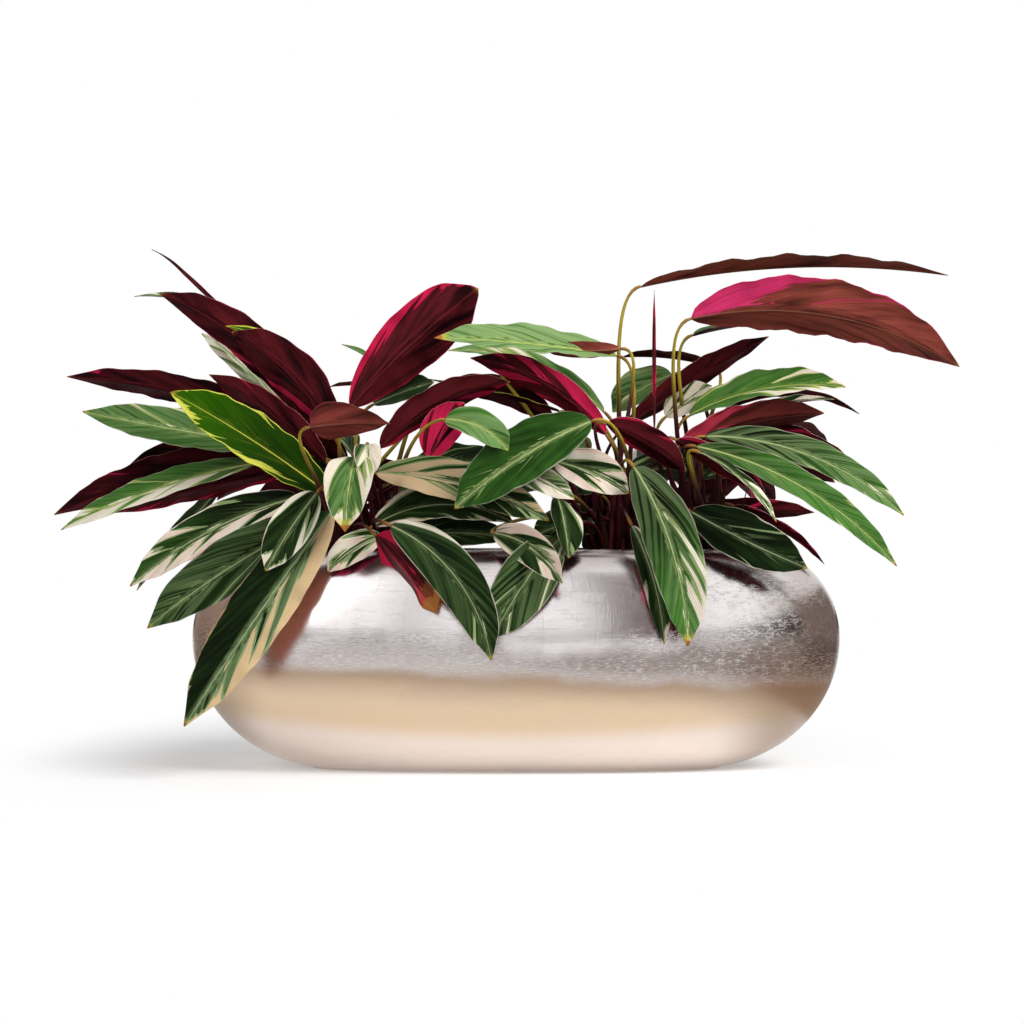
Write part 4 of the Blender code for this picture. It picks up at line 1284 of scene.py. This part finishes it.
class StromanthePlanterSettings(bpy.types.PropertyGroup):
    """The planter's curves and its metal leaf. Its outer size comes from the frame."""

    mouth_length: metres("Mouth length", "Length of the opening at the rim", 0.62, 0.1)
    mouth_depth: metres("Mouth depth", "Depth of the opening at the rim", 0.23, 0.1)
    foot_inset_length: metres(
        "Foot inset, ends", "How far the lower curve draws in at each end", 0.172,
    )
    foot_inset_depth: metres(
        "Foot inset, sides", "How far the lower curve draws in, front and back", 0.09,
    )
    widest_height: metres("Widest height", "Height at which the planter is widest", 0.160, 0.01)
    wall: metres("Wall", "Wall thickness", 0.008, 0.002)
    square: metres("Leaf square", "Width of one square of metal leaf", 0.082, 0.01)
    silver: tint("Silver", "Upper half", 249, 244, 244)
    # Painted reflection of the horizon round the widest part, also painted shade near the rim and in
    # dented spots
    band: tint("Band", "Dull band round the widest part", 124, 108, 98)
    # Painted reflection just under the widest part and on the left end, and painted shade low down at
    # both ends
    tan: tint("Tan", "Just under the widest part", 158, 132, 110)
    # Painted reflection of the floor on the lower half
    champagne: tint("Champagne", "Lower half", 222, 197, 166)
    # Painted reflection of the floor just above it
    foot_tone: tint("Foot", "Just above the floor", 235, 221, 211)
    blush: tint("Blush", "Warm clouds", 222, 204, 200)
    # Also painted shade on the right end and painted reflection in soft blots
    worn: tint("Worn", "Darker squares, joints and streaks", 150, 132, 120)
    # Painted highlight on the crests of the creases and along the brush marks
    crease: tint("Crease", "Crests of the creases", 250, 248, 248)


class STROMANTHE_OT_make_planter(bpy.types.Operator):
    """Make the planter with its rounded rim and cover it in metal leaf"""

    bl_idname = "stromanthe.make_planter"
    bl_label = "Make the planter"

    def execute(self, context):
        settings = context.scene.stromanthe_planter
        outer = outer_profile(settings)
        inner = inner_profile(outer, settings.wall)
        turn = np.linspace(0, math.pi / 2, LIP_RINGS + 1)[1:]
        lip = outer[-1] - LIP_RADIUS * xyz(np.sin(turn), np.sin(turn), 1 - np.cos(turn))
        under = inner[-1] + LIP_RADIUS * np.array((-1, -1, 1))
        foot = outer[0] - (FOOT_STEP, FOOT_STEP, outer[0][2])
        step = outer[0] - (FOOT_STEP, FOOT_STEP, FOOT_LEDGE)
        profile = np.vstack((foot, step, outer, lip, under, inner[::-1]))
        piece = rings_mesh("silver_planter", profile, silver_leaf_coat(settings))
        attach(piece, "root")
        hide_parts("planter")
        return {"FINISHED"}


# ---------------------------------------------------------------- compost
COMPOST_GAP = 0.0006         # between the compost and the planter's wall
COMPOST_ROUND = 0.004        # how far under the surface the wall's rings stop
COMPOST_RINGS = 44
COMPOST_CENTRE = 0.02        # size of the innermost ring, as a share of the outermost
WALL_RING_STEP = 3           # one in so many of the planter's wall rings is enough
LUMPS_PER_METRE = 55
LUMP_NOISE = (0.8, 2.0, 4)   # roughness, step from one octave to the next, and octaves
LUMP_LEVEL = 0.25            # taken off the lumps' height, so that as much lies under as over
CHIP_MARGIN = 0.012          # how far the chips keep from the wall
CHIP_LIFT = 0.001
CHIP_SIZES = (0.4, 1.3)
CHIP_WIDTHS, CHIP_HEIGHTS = (0.4, 0.8), (0.2, 0.45)   # as shares of a chip's length
CHIP_TILT = 0.35
CHIP_ROUGHNESS = 0.25


class StromantheCompostSettings(bpy.types.PropertyGroup):
    """The compost's surface."""

    lumps: metres("Lumps", "Height of the lumps", 0.005)
    chips: IntProperty(name="Chips", description="Number of bark chips", default=700, min=0)
    chip_size: metres("Chip size", "Usual length of a chip", 0.009, 0.001)
    dark: tint("Dark", "Wet compost", 34, 24, 18)
    light: tint("Light", "Dry crumbs", 84, 62, 44)
    bark: tint("Bark", "Bark chips", 112, 76, 48)


def compost_coat(name, colours, high):
    """Crumbly compost or bark, dark in the hollows."""
    tree = Tree(name)
    place = tree.out(tree.add("TexCoord"), "Object")
    crumbs = tree.noise(place, (260, 260, 260), detail=6, roughness=0.7)
    clouds = tree.noise(place, (40, 40, 40))
    coat = tree.mix(tree.step(crumbs + clouds * 0.5, 0.55, 0.95), colours.dark, high)
    tree.bump(crumbs, 0.8, 0.002)
    return tree.finish(Base_Color=coat, Roughness=0.92, Specular_IOR_Level=0.05)


class STROMANTHE_OT_fill_compost(bpy.types.Operator):
    """Fill the planter with lumpy compost and strew bark chips over it"""

    bl_idname = "stromanthe.fill_compost"
    bl_label = "Fill the compost"

    def execute(self, context):
        settings = context.scene.stromanthe_compost
        planter = context.scene.stromanthe_planter
        inner = inner_profile(outer_profile(planter), planter.wall + COMPOST_GAP)
        wall_rings = inner[inner[:, 2] < SOIL_TOP - COMPOST_ROUND][::WALL_RING_STEP]
        edge_length = np.interp(SOIL_TOP, inner[:, 2], inner[:, 0])
        edge_depth = np.interp(SOIL_TOP, inner[:, 2], inner[:, 1])
        shrink = np.linspace(1, COMPOST_CENTRE, COMPOST_RINGS)
        top = xyz(edge_length * shrink, edge_depth * shrink, SOIL_TOP)
        count = len(wall_rings) * PLAN_POINTS

        def lumpy(points):
            for i in range(count, len(points)):
                lump = noise.fractal(Vector(points[i]) * LUMPS_PER_METRE, *LUMP_NOISE) - LUMP_LEVEL
                points[i, 2] += settings.lumps * min(1, (i - count) / (PLAN_POINTS * 2)) * lump
            return points

        coat = compost_coat("compost", settings, settings.light)
        piece = rings_mesh("compost", np.vstack((wall_rings, top)), coat, wavy=lumpy)
        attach(piece, "root")
        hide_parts("potting_soil")
        bark = compost_coat("bark_chips", settings, settings.bark)
        chips = self.strew(settings, edge_length - CHIP_MARGIN, edge_depth - CHIP_MARGIN, bark)
        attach(chips, "root")
        return {"FINISHED"}

    def strew(self, settings, half_length, half_depth, coat):
        rng = random.Random("chips")
        bm = bmesh.new()
        for _ in range(settings.chips):
            while True:
                x, y = rng.uniform(-1, 1), rng.uniform(-1, 1)
                if abs(x) ** PLAN_FULLNESS + abs(y) ** PLAN_FULLNESS < 1:
                    break
            size = settings.chip_size * rng.uniform(*CHIP_SIZES)
            made = bmesh.ops.create_icosphere(bm, subdivisions=1, radius=0.5)["verts"]
            flat = (size, size * rng.uniform(*CHIP_WIDTHS), size * rng.uniform(*CHIP_HEIGHTS))
            for vert in made:
                rough = 1 + rng.uniform(-CHIP_ROUGHNESS, CHIP_ROUGHNESS)
                vert.co = Vector(a * b * rough for a, b in zip(vert.co, flat))
            angle = rng.uniform(0, math.pi)
            lean = [rng.uniform(-CHIP_TILT, CHIP_TILT) for _ in range(2)]
            tilt = Vector((*lean, 1)).normalized()
            turn = Vector((0, 0, 1)).rotation_difference(tilt).to_matrix()
            spin = Matrix.Rotation(angle, 3, "Z")
            bmesh.ops.rotate(bm, verts=made, matrix=spin @ turn)
            rest = Vector((x * half_length, y * half_depth, SOIL_TOP + CHIP_LIFT))
            bmesh.ops.translate(bm, verts=made, vec=rest)
        mesh = bpy.data.meshes.new("bark_chips")
        bm.to_mesh(mesh)
        bm.free()
        mesh.materials.append(coat)
        return place_object("bark_chips", mesh)


# ---------------------------------------------------------------- stage
class StromantheStageSettings(bpy.types.PropertyGroup):
    """Floor, lights and camera."""

    ambient: number("Ambient", "Strength of the light from all round", 0.30)
    key_power: number("Key", "Power of the large lamp", 112, unit="POWER")
    fill_power: number("Fill", "Power of the second lamp", 28, unit="POWER")
    floor_glow: number("Floor glow", "What the floor shows the camera over its own colour", 0.24)
    floor_fade: metres("Floor fade", "Distance at which the floor has faded to white", 0.86, 0.1)
    floor_colour: tint("Floor", "Colour of the floor", 232, 232, 232)
    card_colour: tint("Card", "Dark cards that the metal mirrors", 46, 34, 32)
    strip_colour: tint("Strip card", "Upright cards that show in the metal", 92, 26, 22)
    side_card_colour: tint("Side card", "Cards at either end", 206, 188, 178)


WHITE = (1, 1, 1, 1)
FLOOR_HALF = 14.0
FLOOR_NARROWING = (1.4, 0.8, 1.0)    # the floor fades sooner to the left and right
FLOOR_SHIFT = (0.11, -0.16, 0.0)     # and reaches furthest behind the left end
FADE_START = 0.52                    # share of the fade's distance at which it starts
RING_RADIUS = 6.0
RING_SIDES = 48
RING_FOOT = 0.02
RING_HEIGHT = 0.35
RING_SIDE_RISE = 2.5                 # how much higher the ring stands at the left and right
STRIPS = ((-12, 1.5), (15.4, 6.2))   # bearing off the front and half width, in degrees
STRIP_RADIUS = 5.8
STRIP_HEIGHT = 8.0
SIDE_CARD_X = 0.80
SIDE_CARD_SPAN = (-0.26, 0.7)
SIDE_CARD_HEIGHT = 0.45
FLOOR_CARD_HEIGHT = 0.001
FLOOR_CARD_SPAN_X = (0.43, 1.6)
FLOOR_CARD_SPAN_Y = (-0.45, 0.8)
# Each lamp: name, place, what it aims at, size.
KEY_LAMP = ("key_lamp", (2.2, -1.5, 2.4), (0, 0, 0.25), (2.2, 1.8))
FILL_LAMP = ("fill_lamp", (-2.2, -2.0, 1.7), (0, 0, 0.3), (1.7, 1.7))
CAMERA_PLACE = (-0.005, -3.0, 0.29)
CAMERA_TILT = math.radians(90.483)
LENS, SENSOR_WIDTH = 84.9, 36        # millimetres


def seen_rays(tree):
    """1 for camera, glossy and transmission rays."""
    path = tree.add("LightPath")
    total = tree.out(path, "Is Camera Ray")
    for name in ("Is Glossy Ray", "Is Transmission Ray"):
        total = tree.math("MAXIMUM", total, tree.out(path, name))
    return total


def add_area(name, place, aim, size, power):
    lamp = bpy.data.lights.new(name, "AREA")
    lamp.shape = "RECTANGLE"
    lamp.size, lamp.size_y = size
    lamp.energy = power
    obj = place_object(name, lamp)
    obj.location = place
    obj.rotation_euler = (Vector(aim) - Vector(place)).to_track_quat("-Z", "Y").to_euler()
    return obj


def quad(corners, low, high):
    """Four corners from two places in plan, each given one height low down and its own high up."""
    (a, b), (high_a, high_b) = corners, high
    return ((*a, low), (*b, low), (*b, high_b), (*a, high_a))


def bearing_point(bearing, radius):
    """A place in plan, its bearing counted from +X."""
    return math.cos(bearing) * radius, math.sin(bearing) * radius


class STROMANTHE_OT_set_stage(bpy.types.Operator):
    """Set up the floor, the lights, the cards that the metal mirrors and the camera"""

    bl_idname = "stromanthe.set_stage"
    bl_label = "Set the stage"

    def execute(self, context):
        settings = context.scene.stromanthe_stage
        self.lay_floor(settings)
        self.light_world(settings)
        self.stand_cards(settings)
        add_area(*KEY_LAMP, settings.key_power).visible_glossy = False
        add_area(*FILL_LAMP, settings.fill_power)
        self.place_camera()
        context.scene.view_settings.view_transform = "Standard"
        return {"FINISHED"}

    def lay_floor(self, settings):
        tree = Tree("studio_floor")
        seen = seen_rays(tree)
        tree.finish(
            Base_Color=settings.floor_colour, Roughness=1.0, Specular_IOR_Level=0.0,
            Emission_Color=WHITE, Emission_Strength=seen * settings.floor_glow,
        )
        far = tree.add("Emission", {"Strength": seen * (1 - settings.ambient) + settings.ambient})
        place = tree.stretch(tree.out(tree.add("TexCoord"), "Object"), FLOOR_NARROWING, FLOOR_SHIFT)
        away = tree.out(tree.add("VectorMath", {0: place}, operation="LENGTH"), "Value")
        fade = tree.step(away, settings.floor_fade * FADE_START, settings.floor_fade)
        material = tree.blend(fade, tree.nodes["Principled BSDF"], far)
        # four squares that meet under the planter: how the floor is divided changes how brightly
        # the metal mirrors it
        bm = bmesh.new()
        bmesh.ops.create_grid(bm, x_segments=2, y_segments=2, size=FLOOR_HALF)
        mesh = bpy.data.meshes.new("studio_floor")
        bm.to_mesh(mesh)
        bm.free()
        mesh.materials.append(material)
        floor = place_object("studio_floor", mesh)

    def light_world(self, settings):
        tree = Tree("studio", "worlds")
        shown = tree.nodes["Background"]
        tree.put(shown.inputs["Color"], WHITE)
        tree.put(shown.inputs["Strength"], 1.0)
        lighting = tree.add("Background", {"Color": WHITE, "Strength": settings.ambient})
        bpy.context.scene.world = tree.blend(seen_rays(tree), lighting, shown)

    def stand_cards(self, settings):
        """Cards that only mirror-like surfaces see: a low ring, upright strips, two sides and a
        card on the floor."""
        ring = []
        for i in range(RING_SIDES + 1):
            angle = 2 * math.pi * i / RING_SIDES
            high = RING_HEIGHT + RING_SIDE_RISE * math.cos(angle) ** 4
            ring.append((bearing_point(angle, RING_RADIUS), high))
        quads = [quad((a, b), RING_FOOT, (x, y)) for (a, x), (b, y) in zip(ring, ring[1:])]
        self.add_card("ring_card", quads, settings.card_colour)
        strips = []
        for bearing, half_width in STRIPS:
            ends = [
                bearing_point(math.radians(bearing + turn - 90), STRIP_RADIUS)
                for turn in (-half_width, half_width)
            ]
            strips.append(quad(ends, 0, (STRIP_HEIGHT, STRIP_HEIGHT)))
        self.add_card("strip_cards", strips, settings.strip_colour)
        sides = [
            quad([(x, y) for y in SIDE_CARD_SPAN], 0, (SIDE_CARD_HEIGHT, SIDE_CARD_HEIGHT))
            for x in (-SIDE_CARD_X, SIDE_CARD_X)
        ]
        low, (left, right), (near, far) = FLOOR_CARD_HEIGHT, FLOOR_CARD_SPAN_X, FLOOR_CARD_SPAN_Y
        sides.append(((left, near, low), (right, near, low), (right, far, low), (left, far, low)))
        self.add_card("side_cards", sides, settings.side_card_colour)

    def add_card(self, name, quads, colour):
        points = [point for corners in quads for point in corners]
        faces = [tuple(range(4 * i, 4 * i + 4)) for i in range(len(quads))]
        material = Tree(name).finish(Base_Color=colour, Roughness=1.0)
        card = place_object(name, make_mesh(name, points, faces, material))
        for rays in ("camera", "diffuse", "shadow", "transmission"):
            setattr(card, "visible_" + rays, False)

    def place_camera(self):
        lens = bpy.data.cameras.new("camera")
        lens.lens = LENS
        lens.sensor_width = SENSOR_WIDTH
        camera = place_object("camera", lens)
        camera.location = CAMERA_PLACE
        camera.rotation_euler = (CAMERA_TILT, 0, 0)
        bpy.context.scene.camera = camera


# ---------------------------------------------------------------- panel and registering
class STROMANTHE_PT_panel(bpy.types.Panel):
    """Lists the steps and their settings"""

    bl_label = "Potted stromanthe"
    bl_idname = "STROMANTHE_PT_panel"
    bl_space_type = "VIEW_3D"
    bl_region_type = "UI"
    bl_category = "Stromanthe"

    def draw(self, context):
        layout = self.layout
        for clump in CLUMPS:
            layout.operator("stromanthe.grow_clump", text=f"Grow the {clump} clump").clump = clump
        for step in ("grow_strays", "wrap_stems", "make_planter", "fill_compost", "set_stage"):
            layout.operator("stromanthe." + step)
        for name in SETTINGS:
            group = getattr(context.scene, name)
            box = layout.box()
            for prop in group.bl_rna.properties:
                if prop.identifier not in {"rna_type", "name"}:
                    box.prop(group, prop.identifier)


SETTINGS = {
    "stromanthe_leaves": StromantheLeafSettings,
    "stromanthe_sheaths": StromantheSheathSettings,
    "stromanthe_planter": StromanthePlanterSettings,
    "stromanthe_compost": StromantheCompostSettings,
    "stromanthe_stage": StromantheStageSettings,
}
CLASSES = (
    *SETTINGS.values(),
    STROMANTHE_OT_grow_clump,
    STROMANTHE_OT_grow_strays,
    STROMANTHE_OT_wrap_stems,
    STROMANTHE_OT_make_planter,
    STROMANTHE_OT_fill_compost,
    STROMANTHE_OT_set_stage,
    STROMANTHE_PT_panel,
)


def register():
    for cls in CLASSES:
        bpy.utils.register_class(cls)
    for name, cls in SETTINGS.items():
        setattr(bpy.types.Scene, name, PointerProperty(type=cls))


def unregister():
    for name in SETTINGS:
        delattr(bpy.types.Scene, name)
    for cls in reversed(CLASSES):
        bpy.utils.unregister_class(cls)


def main():
    register()
    for clump in CLUMPS:
        bpy.ops.stromanthe.grow_clump(clump=clump)
    bpy.ops.stromanthe.grow_strays()
    bpy.ops.stromanthe.wrap_stems()
    bpy.ops.stromanthe.make_planter()
    bpy.ops.stromanthe.fill_compost()
    bpy.ops.stromanthe.set_stage()


if __name__ == "__main__":
    main()
